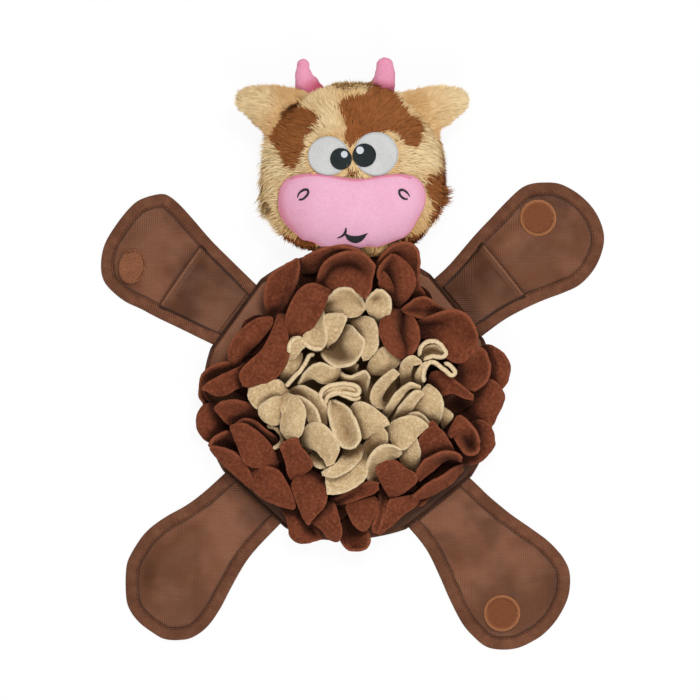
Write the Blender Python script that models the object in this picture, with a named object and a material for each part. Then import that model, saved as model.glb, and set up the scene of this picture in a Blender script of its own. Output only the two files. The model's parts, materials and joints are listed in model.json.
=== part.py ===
"""Plush snuffle toy shaped like a cow, lying flat with its face and petals up.

Metres, +Z up, +Y towards the head. The origin is the centre of the body disc's underside.
The disc is a bound pad that carries rows of fleece petals. Four limbs, the head and the ears
hang on joint empties at their seams.
"""
import math
from typing import NamedTuple

import bmesh
import bpy
from mathutils import Vector

MM = 0.001

# Cloth thicknesses and the gap that cut pieces keep
CLEARANCE = 0.3 * MM
NYLON = 0.7 * MM
TAPE = 0.9 * MM
LIMB_CLOTH = 1.0 * MM
FLEECE = 2.4 * MM

# Body disc: round, with a straight seam for each limb and for the neck
BODY_RADIUS = 105.5 * MM
SEAM_INSET = 4.5 * MM
SEAM_DISTANCE = BODY_RADIUS - SEAM_INSET
SEAM_CLEARANCE = 0.4 * MM
BODY_TAPE_WIDTH = 12.0 * MM
PANEL_RISE = 5.0 * MM
PAD_CORNER = 1.5 * MM
seam_blend_share = 0.57
dome_ring_shares = (0.42, 0.72, 0.9, 1.0)
EDGE_HEIGHT = 2 * TAPE + 2 * NYLON + 3 * CLEARANCE
TOP_PANEL_RIM = TAPE + CLEARANCE + NYLON + CLEARANCE
FLAT_REACH = BODY_RADIUS - BODY_TAPE_WIDTH - PAD_CORNER

# Limbs: azimuth of the seam, length, and the paw's place and half width
LIMB_ROOT_WIDTH = 56.0 * MM
LIMB_TAPE_WIDTH = 9.0 * MM
LIMB_EDGE = 2 * TAPE + LIMB_CLOTH + 2 * CLEARANCE
ARM_LEFT_LENGTH = 107.0 * MM
arm_left_paw_place_share = 0.738
ARM_LEFT_PAW_HALF_WIDTH = 39.5 * MM
ARM_RIGHT_LENGTH = 122.0 * MM
arm_right_paw_place_share = 0.697
ARM_RIGHT_PAW_HALF_WIDTH = 41.0 * MM
LEG_LEFT_LENGTH = 123.0 * MM
leg_left_paw_place_share = 0.691
LEG_LEFT_PAW_HALF_WIDTH = 39.0 * MM
LEG_RIGHT_LENGTH = 122.0 * MM
leg_right_paw_place_share = 0.689
LEG_RIGHT_PAW_HALF_WIDTH = 44.0 * MM

# Fastener pads on the paws, and their distance from the limb's centre line
FASTENER_RADIUS = 13.2 * MM
LOOP_OVAL_HALF_WIDTH = 9.8 * MM
LOOP_OVAL_HALF_LENGTH = 12.6 * MM
ARM_LEFT_FASTENER_ASIDE = 15.0 * MM
ARM_RIGHT_FASTENER_ASIDE = 12.0 * MM
LEG_RIGHT_FASTENER_ASIDE = 14.0 * MM
FASTENER_PAD = 0.8 * MM
FASTENER_RIM = 1.5 * MM
FASTENER_RIM_HEIGHT = 0.7 * MM

# Treat pockets on the arms: the mouth's distance from the seam
ARM_LEFT_MOUTH_DISTANCE = 48.0 * MM
ARM_RIGHT_MOUTH_DISTANCE = 43.0 * MM
POCKET_BULGE = 6.0 * MM
POCKET_START = 2.0 * MM
POCKET_HEM = 5.0 * MM

# Head: a stuffed ball flattened where it rests
HEAD_ASIDE = 3.2 * MM
CHIN_OVERLAP = 3.2 * MM
HEAD_HALF_WIDTH = 66.0 * MM
HEAD_HALF_LENGTH = 63.5 * MM
HEAD_CENTRE = Vector((HEAD_ASIDE, SEAM_DISTANCE + HEAD_HALF_LENGTH - CHIN_OVERLAP, 0))
HEAD_MIDDLE = 29.0 * MM
HEAD_FRONT = 34.0 * MM
HEAD_BACK = 30.5 * MM
COVER_CLOTH = 3.0 * MM
head_ring_shares = (0.3, 0.56, 0.76, 0.9, 0.98)
SQUEAKER_RADIUS = 18.5 * MM
SQUEAKER_HEIGHT = 13.0 * MM
SQUEAKER_EDGE = 2.5 * MM
NECK_TAB_WIDTH = 48.0 * MM
NECK_TAB_LENGTH = 26.0 * MM
NECK_TAB_TAPER = 5.0 * MM

# Face: places are shares of the head's or the muzzle's half width and half length
muzzle_place_shares = (-0.015, -0.452)
eye_place_shares = {"left": (-0.273, 0.183), "right": (0.245, 0.205)}
pupil_place_shares = {"left": (-0.136, 0.146), "right": (0.118, 0.187)}
eye_size_shares = {"left": 0.96, "right": 1.04}
glint_place_shares = {"left": (0.33, 0.42), "right": (-0.33, 0.42)}
nostril_place_shares = (0.676, 0.472)
mouth_end_shares = {"left": (-0.207, -0.69), "right": (0.207, -0.596)}
MUZZLE_HALF_WIDTH = 54.0 * MM
MUZZLE_UP = 26.5 * MM
MUZZLE_DOWN = 25.5 * MM
MUZZLE_DIP = 2.4 * MM
MUZZLE_DIP_WIDTH = 16.0 * MM
MUZZLE_PUFF = 9.0 * MM
FELT = 0.9 * MM
PUPIL_FELT = 0.7 * MM
STITCHING = 0.6 * MM
NOSTRIL_HALF_LENGTH = 4.6 * MM
NOSTRIL_HALF_WIDTH = 3.0 * MM
NOSTRIL_STROKE = 0.75 * MM
nostril_tilt = math.radians(35)
MOUTH_HANG = 3.6 * MM
MOUTH_END_STROKE = 0.5 * MM
MOUTH_SWELL = 1.9 * MM
EYE_RADIUS = 14.8 * MM
PUPIL_RADIUS = 8.1 * MM
GLINT_RADIUS = 2.6 * MM

# Horns and ears
HORN_WIDTH = 19.5 * MM
HORN_TIP_WIDTH = 9.0 * MM
HORN_DEPTH = 13.0 * MM
horn_base_turn_shares = {"left": 0.3278, "right": 0.2}
horn_tip_shares = {"left": (-0.552, 1.28), "right": (0.329, 1.293)}
horn_bow_shares = {"left": -0.1, "right": 0.08}
horn_row_shares = (0, 0.3, 0.6, 0.82, 0.95)
horn_blunt_share = 0.8
EAR_THICKNESS = 9.0 * MM
EAR_TIP_THICKNESS = 5.0 * MM
EAR_ROOT_THICKNESS = 1.8 * MM
EAR_ROOT_CLEARANCE = 0.85 * MM
EAR_REACH = 99.0 * MM
ear_root_turn_shares = {"left": (0.3583, 0.4389), "right": (0.1639, 0.0667)}
ear_tip_turn_shares = {"left": (0.3861, 0.4222), "right": (0.1167, 0.0806)}
ear_swell_share = 0.3
ear_row_shares = (0, ear_swell_share, 0.62, 0.88, 1)
ear_edge_share = 0.4


class Limb(NamedTuple):
    """One limb's seam azimuth in degrees, its length and its paw."""
    azimuth: float
    length: float
    paw_place_share: float
    paw_half_width: float
    paw_roundness: float

    @property
    def paw_distance(self):
        return self.length * self.paw_place_share


LIMBS = {
    "arm_left": Limb(144.0, ARM_LEFT_LENGTH, arm_left_paw_place_share, ARM_LEFT_PAW_HALF_WIDTH, 2.5),
    "arm_right": Limb(39.5, ARM_RIGHT_LENGTH, arm_right_paw_place_share, ARM_RIGHT_PAW_HALF_WIDTH, 2.1),
    "leg_left": Limb(227.5, LEG_LEFT_LENGTH, leg_left_paw_place_share, LEG_LEFT_PAW_HALF_WIDTH, 2.2),
    "leg_right": Limb(310.0, LEG_RIGHT_LENGTH, leg_right_paw_place_share, LEG_RIGHT_PAW_HALF_WIDTH, 2.1),
}
NECK_AZIMUTH = 90.0
POCKET_MOUTHS = {"arm_left": ARM_LEFT_MOUTH_DISTANCE, "arm_right": ARM_RIGHT_MOUTH_DISTANCE}

# Petal rows: each is sewn at a share of the disc's radius. Then how far its petals stand
brown_outer_row_share = 0.796
brown_inner_row_share = 0.664
cream_outer_row_share = 0.531
cream_middle_row_share = 0.389
cream_inner_row_share = 0.246
tuft_row_share = 0.1
BROWN_HELD_LENGTH = 27.0 * MM
BROWN_OPEN_LENGTH = 37.0 * MM
BROWN_INNER_HELD_LENGTH = 32.0 * MM
BROWN_INNER_OPEN_LENGTH = 36.0 * MM
CREAM_OUTER_HELD_LENGTH = 36.0 * MM
CREAM_OUTER_OPEN_LENGTH = 38.0 * MM
CREAM_LENGTH = 37.0 * MM
TUFT_LENGTH = 34.0 * MM
BROWN_CUP = 3.0 * MM
CREAM_CUP = 3.6 * MM
CREAM_INNER_CUP = 3.4 * MM
TUFT_CUP = 2.0 * MM
PETAL_HEM = 4.5 * MM
STRIP_END_GAP = 0.9 * MM
hem_width_share = 0.92
tip_width_share = 0.36
petal_row_shares = (0.0, 0.3, 0.62, 0.87, 1.0)
PETAL_COLUMNS = 4
limb_guard = math.radians(17)
neck_guard = math.radians(14)


class Ring(NamedTuple):
    """One ring of petals: where it is sewn, how many, and how it leans."""
    radius_share: float
    count: int
    start: float
    length: float
    open_length: float
    lean: tuple
    open_lean: tuple
    cup: float
    strips: tuple
    name: str

    @property
    def radius(self):
        return BODY_RADIUS * self.radius_share


RINGS = (
    Ring(brown_outer_row_share, 14, 4.0, BROWN_HELD_LENGTH, BROWN_OPEN_LENGTH, (-4, 8), (20, 118),
         BROWN_CUP, (4, 3, 4, 3), "brown_petals_outer"),
    Ring(brown_inner_row_share, 12, 12.0, BROWN_INNER_HELD_LENGTH, BROWN_INNER_OPEN_LENGTH, (2, 40), (8, 68),
         BROWN_CUP, (3, 3, 3, 3), "brown_petals_inner"),
    Ring(cream_outer_row_share, 10, 0.0, CREAM_OUTER_HELD_LENGTH, CREAM_OUTER_OPEN_LENGTH, (8, 58), (10, 78),
         CREAM_CUP, (4, 3, 3), "cream_petals_outer"),
    Ring(cream_middle_row_share, 8, 20.0, CREAM_LENGTH, CREAM_LENGTH, (8, 62), (8, 62),
         CREAM_CUP, (4, 4), "cream_petals_middle"),
    Ring(cream_inner_row_share, 5, 50.0, CREAM_LENGTH, CREAM_LENGTH, (4, 54), (4, 54),
         CREAM_INNER_CUP, (3, 2), "cream_petals_inner"),
    Ring(tuft_row_share, 3, 80.0, TUFT_LENGTH, TUFT_LENGTH, (0, 36), (0, 36),
         TUFT_CUP, (3,), "cream_centre_tuft"),
)


def clear_scene():
    for old in list(bpy.data.objects):
        bpy.data.objects.remove(old, do_unlink=True)


def linear(channel):
    value = channel / 255
    return value / 12.92 if value <= 0.04045 else ((value + 0.055) / 1.055) ** 2.4


def make_material(name, colour, roughness, sheen=0.0):
    material = bpy.data.materials.new(name)
    material.use_nodes = True
    shader = material.node_tree.nodes["Principled BSDF"]
    shader.inputs["Base Color"].default_value = (*[linear(part) for part in colour], 1)
    shader.inputs["Roughness"].default_value = roughness
    shader.inputs["Metallic"].default_value = 0.0
    shader.inputs["Sheen Weight"].default_value = sheen
    return material


def add_object(name, mesh_builder, material, joint=None, in_world=False, smooth=30):
    """Makes one closed object; in_world keeps world coordinates under its joint."""
    bmesh.ops.recalc_face_normals(mesh_builder, faces=mesh_builder.faces[:])
    mesh = bpy.data.meshes.new(name)
    mesh_builder.to_mesh(mesh)
    mesh_builder.free()
    if material is not None:
        mesh.materials.append(material)
    mesh.shade_smooth()
    mesh.set_sharp_from_angle(angle=math.radians(smooth))
    made = bpy.data.objects.new(name, mesh)
    bpy.context.scene.collection.objects.link(made)
    if joint is not None:
        made.parent = joint
        if in_world:
            made.matrix_parent_inverse = joint.matrix_world.inverted()
    return made


def add_joint(name, place, azimuth, parent=None):
    """An empty on a hinge line, its X axis pointing out along the azimuth."""
    joint = bpy.data.objects.new(name, None)
    bpy.context.scene.collection.objects.link(joint)
    joint.location = place
    joint.rotation_euler = (0, 0, azimuth)
    if parent is not None:
        bpy.context.view_layer.update()
        joint.parent = parent
        joint.matrix_parent_inverse = parent.matrix_world.inverted()
    bpy.context.view_layer.update()
    return joint


def polar(distance, angle):
    return Vector((distance * math.cos(angle), distance * math.sin(angle), 0))


def smooth_step(value):
    held = min(max(value, 0), 1)
    return held * held * (3 - 2 * held)


def turn(name, material, profile, angles, closed=False, centre=Vector((0, 0, 0)), **where):
    """Lofts a profile round the angles. A profile point is a radius rule and a height rule.

    A point without a radius rule is a pole on the axis.
    """
    builder = bmesh.new()
    rows = []
    for radius_at, height in profile:
        if radius_at is None:
            rows.append([builder.verts.new(centre + Vector((0, 0, height)))])
            continue
        rows.append([builder.verts.new(centre + polar(radius_at(angle), angle) + Vector((0, 0, height)))
                     for angle in angles])
    pairs = list(zip(rows, rows[1:]))
    if closed:
        pairs.append((rows[-1], rows[0]))
    for lower, upper in pairs:
        join_rows(builder, lower, upper)
    return add_object(name, builder, material, **where)


def join_rows(builder, first, second):
    """Bridges two rings of vertices, or a ring and a pole."""
    if len(first) == 1 and len(second) == 1:
        return
    if len(first) == 1 or len(second) == 1:
        pole, ring = (first, second) if len(first) == 1 else (second, first)
        for index, corner in enumerate(ring):
            builder.faces.new((pole[0], corner, ring[(index + 1) % len(ring)]))
        return
    for index, corner in enumerate(first):
        after = (index + 1) % len(first)
        builder.faces.new((corner, first[after], second[after], second[index]))


def seam_azimuths():
    return sorted([math.radians(limb.azimuth) for limb in LIMBS.values()] + [math.radians(NECK_AZIMUTH)])


def angle_between(first, second):
    return abs((first - second + math.pi) % math.tau - math.pi)


def body_outline_angles(longest_step=math.radians(9)):
    """Angles with a point at each corner of each straight seam."""
    half = math.acos(SEAM_DISTANCE / BODY_RADIUS)
    corners = sorted((azimuth + side * half) % math.tau for azimuth in seam_azimuths() for side in (-1, 1))
    angles = []
    for corner, following in zip(corners, corners[1:] + [corners[0] + math.tau]):
        steps = max(1, math.ceil((following - corner) / longest_step))
        angles += [corner + (following - corner) * step / steps for step in range(steps)]
    return angles


def body_reach(reach):
    """The disc's outline drawn in to a reach: the straight seams fade out towards the centre."""
    fade_start = BODY_RADIUS * seam_blend_share
    fade = smooth_step((reach - fade_start) / (BODY_RADIUS - fade_start))
    straight = reach - (BODY_RADIUS - SEAM_DISTANCE) * fade

    def radius_at(angle):
        nearest = min(angle_between(angle, azimuth) for azimuth in seam_azimuths())
        return min(reach, straight / math.cos(min(nearest, math.pi / 3)))
    return radius_at


def panel_rise(distance):
    """The height that the padded top panel stands above its rim."""
    return PANEL_RISE * (1 - min(distance / FLAT_REACH, 1) ** 2)


def make_body_disc(nylon, tape, padding):
    angles = body_outline_angles()
    tucked = BODY_RADIUS - TAPE - CLEARANCE
    step_up = TAPE + CLEARANCE
    inner = FLAT_REACH - 2 * PAD_CORNER
    turn("back_panel", nylon, [
        (None, 0), (body_reach(inner), 0), (body_reach(FLAT_REACH), step_up), (body_reach(tucked), step_up),
        (body_reach(tucked), step_up + NYLON), (body_reach(FLAT_REACH - NYLON), step_up + NYLON),
        (body_reach(inner - NYLON), NYLON), (None, NYLON)], angles)

    domes = [FLAT_REACH * share for share in dome_ring_shares]
    under = TOP_PANEL_RIM
    over = TOP_PANEL_RIM + NYLON
    top = [(None, over + panel_rise(0))]
    top += [(body_reach(reach), over + panel_rise(reach)) for reach in domes]
    top += [(body_reach(tucked), over), (body_reach(tucked), under)]
    top += [(body_reach(reach), under + panel_rise(reach)) for reach in reversed(domes)]
    top += [(None, under + panel_rise(0))]
    turn("top_panel", nylon, top, angles)

    pad_reach = inner - NYLON - PAD_CORNER
    pad_rings = [FLAT_REACH * share for share in dome_ring_shares[:-1]]
    floor = NYLON + CLEARANCE
    pad = [(None, under - CLEARANCE + panel_rise(0))]
    pad += [(body_reach(reach), under - CLEARANCE + panel_rise(reach)) for reach in pad_rings]
    pad += [(body_reach(pad_reach), under - CLEARANCE), (body_reach(pad_reach), floor), (None, floor)]
    turn("filling_pad", padding, pad, angles)

    lip = BODY_RADIUS - BODY_TAPE_WIDTH
    wall = BODY_RADIUS - TAPE
    turn("edge_binding", tape, [
        (body_reach(lip), 0), (body_reach(wall), 0), (body_reach(BODY_RADIUS), TAPE),
        (body_reach(BODY_RADIUS), EDGE_HEIGHT - TAPE), (body_reach(wall), EDGE_HEIGHT),
        (body_reach(lip), EDGE_HEIGHT), (body_reach(lip), EDGE_HEIGHT - TAPE),
        (body_reach(wall), EDGE_HEIGHT - TAPE), (body_reach(wall), TAPE), (body_reach(lip), TAPE)],
        angles, closed=True)


def openness(angle):
    """How far a petal can flop out: 0 over a limb seam, 1 midway between two limbs."""
    room = min(angle_between(angle, math.radians(limb.azimuth)) for limb in LIMBS.values())
    room = min(room, angle_between(angle, math.radians(NECK_AZIMUTH)) - neck_guard)
    return smooth_step((room - limb_guard) / limb_guard)


def bend(length, lean_start, lean_end, share, steps=8):
    """Out and up distance along a petal whose lean grows towards its tip."""
    out = 0
    up = 0
    for step in range(steps):
        along = (step + 0.5) / steps * share
        lean = math.radians(lean_start + (lean_end - lean_start) * along * along)
        out += math.sin(lean) * length * share / steps
        up += math.cos(lean) * length * share / steps
    return out, up


def petal_width(share):
    """The petal's half width along its length, as a share of its half pitch."""
    if share <= 0:
        return 1.0
    shoulder = 1 - share ** 3.4
    return max(tip_width_share, hem_width_share * math.sqrt(max(shoulder, 0)) + 0.02)


def petal_point(ring, index, across, share):
    """A point of a petal's middle surface; across runs from side to side."""
    pitch = math.tau / ring.count
    middle = math.radians(ring.start) + pitch * index
    width = petal_width(share)
    angle = middle + across * width * pitch / 2
    opened = openness(middle) if share > 0 else 0
    lean_start = ring.lean[0] + (ring.open_lean[0] - ring.lean[0]) * opened
    lean_end = ring.lean[1] + (ring.open_lean[1] - ring.lean[1]) * opened
    length = ring.length + (ring.open_length - ring.length) * opened
    out, up = bend(length, lean_start, lean_end, share)
    turned = 1 if index % 2 else -1
    cupped = turned * ring.cup * (across * across - 0.4) * smooth_step(share * 1.6)
    distance = ring.radius + out + cupped
    place = polar(distance, angle)
    place.z = hem_height(ring.radius) + PETAL_HEM + up
    return place


def hem_height(distance):
    """Where a hem's lower edge stands on the top panel."""
    return TOP_PANEL_RIM + NYLON + CLEARANCE + panel_rise(distance - FLEECE / 2)


def make_petal_strip(name, ring, first, count, material):
    """One sewn strip: a continuous hem, cut above it into petals."""
    builder = bmesh.new()
    pitch = math.tau / ring.count
    columns = PETAL_COLUMNS
    low_row = []
    hem_row = []
    for step in range(count * columns + 1):
        angle = math.radians(ring.start) + pitch * (first - 0.5 + step / columns)
        if step == 0 or step == count * columns:
            angle += math.copysign(STRIP_END_GAP / ring.radius, 0.5 - step)
        foot = polar(ring.radius, angle)
        low_row.append(builder.verts.new(foot + Vector((0, 0, hem_height(ring.radius)))))
        hem_row.append(builder.verts.new(foot + Vector((0, 0, hem_height(ring.radius) + PETAL_HEM))))
    for step in range(count * columns):
        builder.faces.new((low_row[step], low_row[step + 1], hem_row[step + 1], hem_row[step]))
    for petal in range(count):
        below = hem_row[petal * columns:(petal + 1) * columns + 1]
        for share in petal_row_shares[1:]:
            above = [builder.verts.new(petal_point(ring, first + petal, 2 * step / columns - 1, share))
                     for step in range(columns + 1)]
            for step in range(columns):
                builder.faces.new((below[step], below[step + 1], above[step + 1], above[step]))
            below = above
    made = add_object(name, builder, material, smooth=50)
    thick = made.modifiers.new("fleece thickness", "SOLIDIFY")
    thick.thickness = FLEECE
    thick.offset = 0
    thick.use_even_offset = False
    return made


def make_petals(brown, cream):
    side_names = ("a", "b", "c", "d")
    for ring in RINGS:
        material = brown if ring.name.startswith("brown") else cream
        first = 0
        for number, count in enumerate(ring.strips):
            name = ring.name if len(ring.strips) == 1 else f"{ring.name}_{side_names[number]}"
            make_petal_strip(name, ring, first, count, material)
            first += count


def limb_half_width(limb, along):
    """The limb's half width at a distance from its seam."""
    root = LIMB_ROOT_WIDTH / 2
    if along <= limb.paw_distance:
        return root + (limb.paw_half_width - root) * (along / limb.paw_distance) ** 1.35
    share = (along - limb.paw_distance) / (limb.length - limb.paw_distance)
    power = limb.paw_roundness
    return limb.paw_half_width * max(1 - share ** power, 0) ** (1 / power)


def limb_outline(limb, inset=0.0, straight_steps=4, round_steps=6):
    """The outline from the seam's right corner round the paw to its left corner."""
    places = [limb.paw_distance * step / straight_steps for step in range(straight_steps)]
    tip = limb.length - limb.paw_distance
    places += [limb.paw_distance + tip * math.sin(math.pi / 2 * step / round_steps)
               for step in range(round_steps)]
    right = [Vector((along, -limb_half_width(limb, along))) for along in places]
    outline = right + [Vector((limb.length, 0))] + [Vector((point.x, -point.y)) for point in reversed(right)]
    drawn_in = []
    for index, point in enumerate(outline):
        before = outline[max(index - 1, 0)]
        after = outline[min(index + 1, len(outline) - 1)]
        run = (after - before).normalized()
        inward = Vector((-run.y, run.x))
        moved = point + inward * inset
        if index in (0, len(outline) - 1):
            moved.x = 0
        drawn_in.append(moved)
    return drawn_in


def make_limb_binding(name, limb, tape, joint):
    """A folded tape round the limb's edge, open at the seam."""
    section = [(0, TAPE / 2), (TAPE / 2, 0), (LIMB_TAPE_WIDTH, 0), (LIMB_TAPE_WIDTH, TAPE), (TAPE, TAPE),
               (TAPE, LIMB_EDGE - TAPE), (LIMB_TAPE_WIDTH, LIMB_EDGE - TAPE), (LIMB_TAPE_WIDTH, LIMB_EDGE),
               (TAPE / 2, LIMB_EDGE), (0, LIMB_EDGE - TAPE / 2)]
    builder = bmesh.new()
    lines = []
    for inset, height in section:
        lines.append([builder.verts.new((point.x, point.y, height - EDGE_HEIGHT))
                      for point in limb_outline(limb, inset)])
    for line, following in zip(lines, lines[1:] + lines[:1]):
        for step in range(len(line) - 1):
            builder.faces.new((line[step], line[step + 1], following[step + 1], following[step]))
    for end in (0, -1):
        builder.faces.new([line[end] for line in lines])
    return add_object(name, builder, tape, joint)


def make_limb_panel(name, limb, nylon, joint):
    outline = limb_outline(limb, TAPE + CLEARANCE)
    builder = bmesh.new()
    low = TAPE + CLEARANCE - EDGE_HEIGHT
    lower = [builder.verts.new((point.x, point.y, low)) for point in outline]
    upper = [builder.verts.new((point.x, point.y, low + LIMB_CLOTH)) for point in outline]
    join_rows(builder, lower, upper)
    builder.faces.new(lower)
    builder.faces.new(upper)
    return add_object(name, builder, nylon, joint)


def pocket_point(limb, mouth, along, across, lift):
    """A point of the pocket cloth, which stands up in an arch at its mouth."""
    half = limb_half_width(limb, along) - LIMB_TAPE_WIDTH - CLEARANCE
    open_share = smooth_step((along - POCKET_START) / (mouth - POCKET_HEM - POCKET_START))
    arch = POCKET_BULGE * open_share * (1 - across * across)
    seat = LIMB_EDGE - TAPE - EDGE_HEIGHT
    return Vector((along, across * half, seat + arch + lift))


def make_pocket(name, limb, mouth, nylon, joint):
    builder = bmesh.new()
    places = [POCKET_START + (mouth - POCKET_START) * step / 4 for step in range(5)]
    columns = 8
    sheets = []
    for lift in (0, NYLON):
        sheets.append([[builder.verts.new(pocket_point(limb, mouth, along, 2 * step / columns - 1, lift))
                        for step in range(columns + 1)] for along in places])
    for sheet in sheets:
        for row, following in zip(sheet, sheet[1:]):
            for step in range(columns):
                builder.faces.new((row[step], row[step + 1], following[step + 1], following[step]))
    low, high = sheets
    for edge in (lambda sheet: sheet[0], lambda sheet: sheet[-1],
                 lambda sheet: [row[0] for row in sheet], lambda sheet: [row[-1] for row in sheet]):
        under, over = edge(low), edge(high)
        for step in range(len(under) - 1):
            builder.faces.new((under[step], under[step + 1], over[step + 1], over[step]))
    return add_object(name, builder, nylon, joint)


def make_fastener(name, along, across, radii, material, joint, rimmed, behind=False):
    """A round or oval fastener pad sewn on a limb's front, or on its back."""
    wide, long = radii

    def oval(inset):
        reach, half = long - inset, wide - inset
        return lambda angle: 1 / math.hypot(math.cos(angle) / reach, math.sin(angle) / half)
    low = LIMB_EDGE - TAPE - EDGE_HEIGHT
    high = low + FASTENER_PAD
    if behind:
        high = TAPE - EDGE_HEIGHT
        low = high - FASTENER_PAD
    rim = FASTENER_RIM_HEIGHT if rimmed else 0
    bevel = FASTENER_PAD / 2
    profile = [(None, low), (oval(bevel), low), (oval(0), low + bevel), (oval(bevel), high + rim)]
    if rimmed:
        profile += [(oval(FASTENER_RIM), high + rim), (oval(FASTENER_RIM + bevel), high)]
    profile.append((None, high))
    angles = [math.tau * step / 20 for step in range(20)]
    turn(name, material, profile, angles, centre=Vector((along, across, 0)), joint=joint)


def make_limbs(nylon, tape, hook, loop):
    for name, limb in LIMBS.items():
        azimuth = math.radians(limb.azimuth)
        place = polar(SEAM_DISTANCE + SEAM_CLEARANCE, azimuth)
        place.z = EDGE_HEIGHT
        joint = add_joint(f"{name}_joint", place, azimuth)
        make_limb_panel(f"{name}_panel", limb, nylon, joint)
        make_limb_binding(f"{name}_binding", limb, tape, joint)
        if name in POCKET_MOUTHS:
            make_pocket(f"{name}_pocket", limb, POCKET_MOUTHS[name], nylon, joint)
        paw = limb.paw_distance
        round_pad = (FASTENER_RADIUS, FASTENER_RADIUS)
        if name == "arm_left":
            oval_pad = (LOOP_OVAL_HALF_WIDTH, LOOP_OVAL_HALF_LENGTH)
            aside = ARM_LEFT_FASTENER_ASIDE
            make_fastener("arm_left_loop_disc", paw, aside, oval_pad, loop, joint, rimmed=False)
        elif name == "arm_right":
            aside = ARM_RIGHT_FASTENER_ASIDE
            make_fastener("arm_right_hook_disc", paw, aside, round_pad, hook, joint, rimmed=True)
        elif name == "leg_left":
            make_fastener("leg_left_loop_disc", paw, 0, round_pad, loop, joint, rimmed=False, behind=True)
        else:
            aside = -LEG_RIGHT_FASTENER_ASIDE
            make_fastener("leg_right_hook_disc", paw, aside, round_pad, hook, joint, rimmed=True)


def head_radius(angle, inset=0.0):
    """The head's outline: an oval crown and broader cheeks."""
    power = 2.05 if math.sin(angle) > 0 else 2.45
    wide = abs(math.cos(angle)) / (HEAD_HALF_WIDTH - inset)
    long = abs(math.sin(angle)) / (HEAD_HALF_LENGTH - inset)
    return (wide ** power + long ** power) ** (-1 / power)


def head_share(share, inset):
    return lambda angle: share * head_radius(angle, inset)


def front_height(share, inset=0.0):
    return HEAD_MIDDLE + (HEAD_FRONT - inset) * max(1 - share ** 2, 0) ** 0.58


def back_height(share, inset=0.0):
    rounded = HEAD_MIDDLE - (HEAD_BACK - inset) * max(1 - share ** 2.4, 0) ** 0.55
    return max(rounded, inset)


def head_surface(place):
    """The height of the fur cover's front above a place on the floor."""
    offset = Vector((place.x - HEAD_CENTRE.x, place.y - HEAD_CENTRE.y))
    share = offset.length / head_radius(math.atan2(offset.y, offset.x))
    return front_height(min(share, 1))


def make_head_ball(joint, fur, padding, plastic):
    angles = [math.tau * step / 32 for step in range(32)]
    shares = head_ring_shares
    seam = CLEARANCE / 2
    lining = COVER_CLOTH + CLEARANCE
    where = {"centre": HEAD_CENTRE, "joint": joint, "in_world": True, "smooth": 60}

    outside = [(None, front_height(0))] + [(head_share(share, 0), front_height(share)) for share in shares]
    outside += [(head_share(1, 0), HEAD_MIDDLE + seam), (head_share(1, COVER_CLOTH), HEAD_MIDDLE + seam)]
    inside = [(head_share(share, COVER_CLOTH), front_height(share, COVER_CLOTH)) for share in shares[:-1]]
    turn("head_front_cover", fur, outside + inside[::-1] + [(None, front_height(0, COVER_CLOTH))],
         angles, **where)

    outside = [(None, back_height(0))] + [(head_share(share, 0), back_height(share)) for share in shares]
    outside += [(head_share(1, 0), HEAD_MIDDLE - seam), (head_share(1, COVER_CLOTH), HEAD_MIDDLE - seam)]
    inside = [(head_share(share, COVER_CLOTH), back_height(share, COVER_CLOTH)) for share in shares[:-1]]
    turn("head_back_cover", fur, outside + inside[::-1] + [(None, back_height(0, COVER_CLOTH))],
         angles, **where)

    pocket = SQUEAKER_RADIUS + CLEARANCE
    pocket_share = pocket / HEAD_HALF_LENGTH
    pocket_roof = lining + SQUEAKER_HEIGHT + CLEARANCE
    stuffing = [(None, front_height(0, lining))]
    stuffing += [(head_share(share, lining), front_height(share, lining)) for share in shares[:-1]]
    stuffing += [(head_share(1, lining), HEAD_MIDDLE)]
    stuffing += [(head_share(share, lining), back_height(share, lining)) for share in reversed(shares[1:-1])]
    stuffing += [(lambda angle: pocket, back_height(pocket_share, lining)),
                 (lambda angle: pocket, pocket_roof), (None, pocket_roof)]
    turn("head_stuffing", padding, stuffing, angles, **where)

    def squeaker_radius(inset):
        return lambda angle: SQUEAKER_RADIUS - inset
    low = lining
    high = low + SQUEAKER_HEIGHT
    turn("squeaker", plastic, [
        (None, low), (squeaker_radius(SQUEAKER_EDGE), low), (squeaker_radius(0), low + SQUEAKER_EDGE),
        (squeaker_radius(0), high - SQUEAKER_EDGE), (squeaker_radius(SQUEAKER_EDGE), high), (None, high)],
        angles[::2], centre=HEAD_CENTRE, joint=joint, in_world=True)


def make_head_cutter():
    """The head's front, a clearance larger, to cut what is sewn on it to its seat."""
    angles = [math.tau * step / 32 for step in range(32)]
    profile = [(None, front_height(0) + CLEARANCE)]
    profile += [(head_share(share, -CLEARANCE), front_height(share) + CLEARANCE)
                for share in head_ring_shares]
    profile += [(head_share(1, -CLEARANCE), HEAD_MIDDLE), (head_share(1, -CLEARANCE), 0), (None, 0)]
    cutter = turn("head_cutter", None, profile, angles, centre=HEAD_CENTRE)
    cutter.hide_render = True
    cutter.display_type = "WIRE"
    return cutter


def cut_to_seat(target, cutter):
    cut = target.modifiers.new("seat", "BOOLEAN")
    cut.operation = "DIFFERENCE"
    cut.object = cutter


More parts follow.
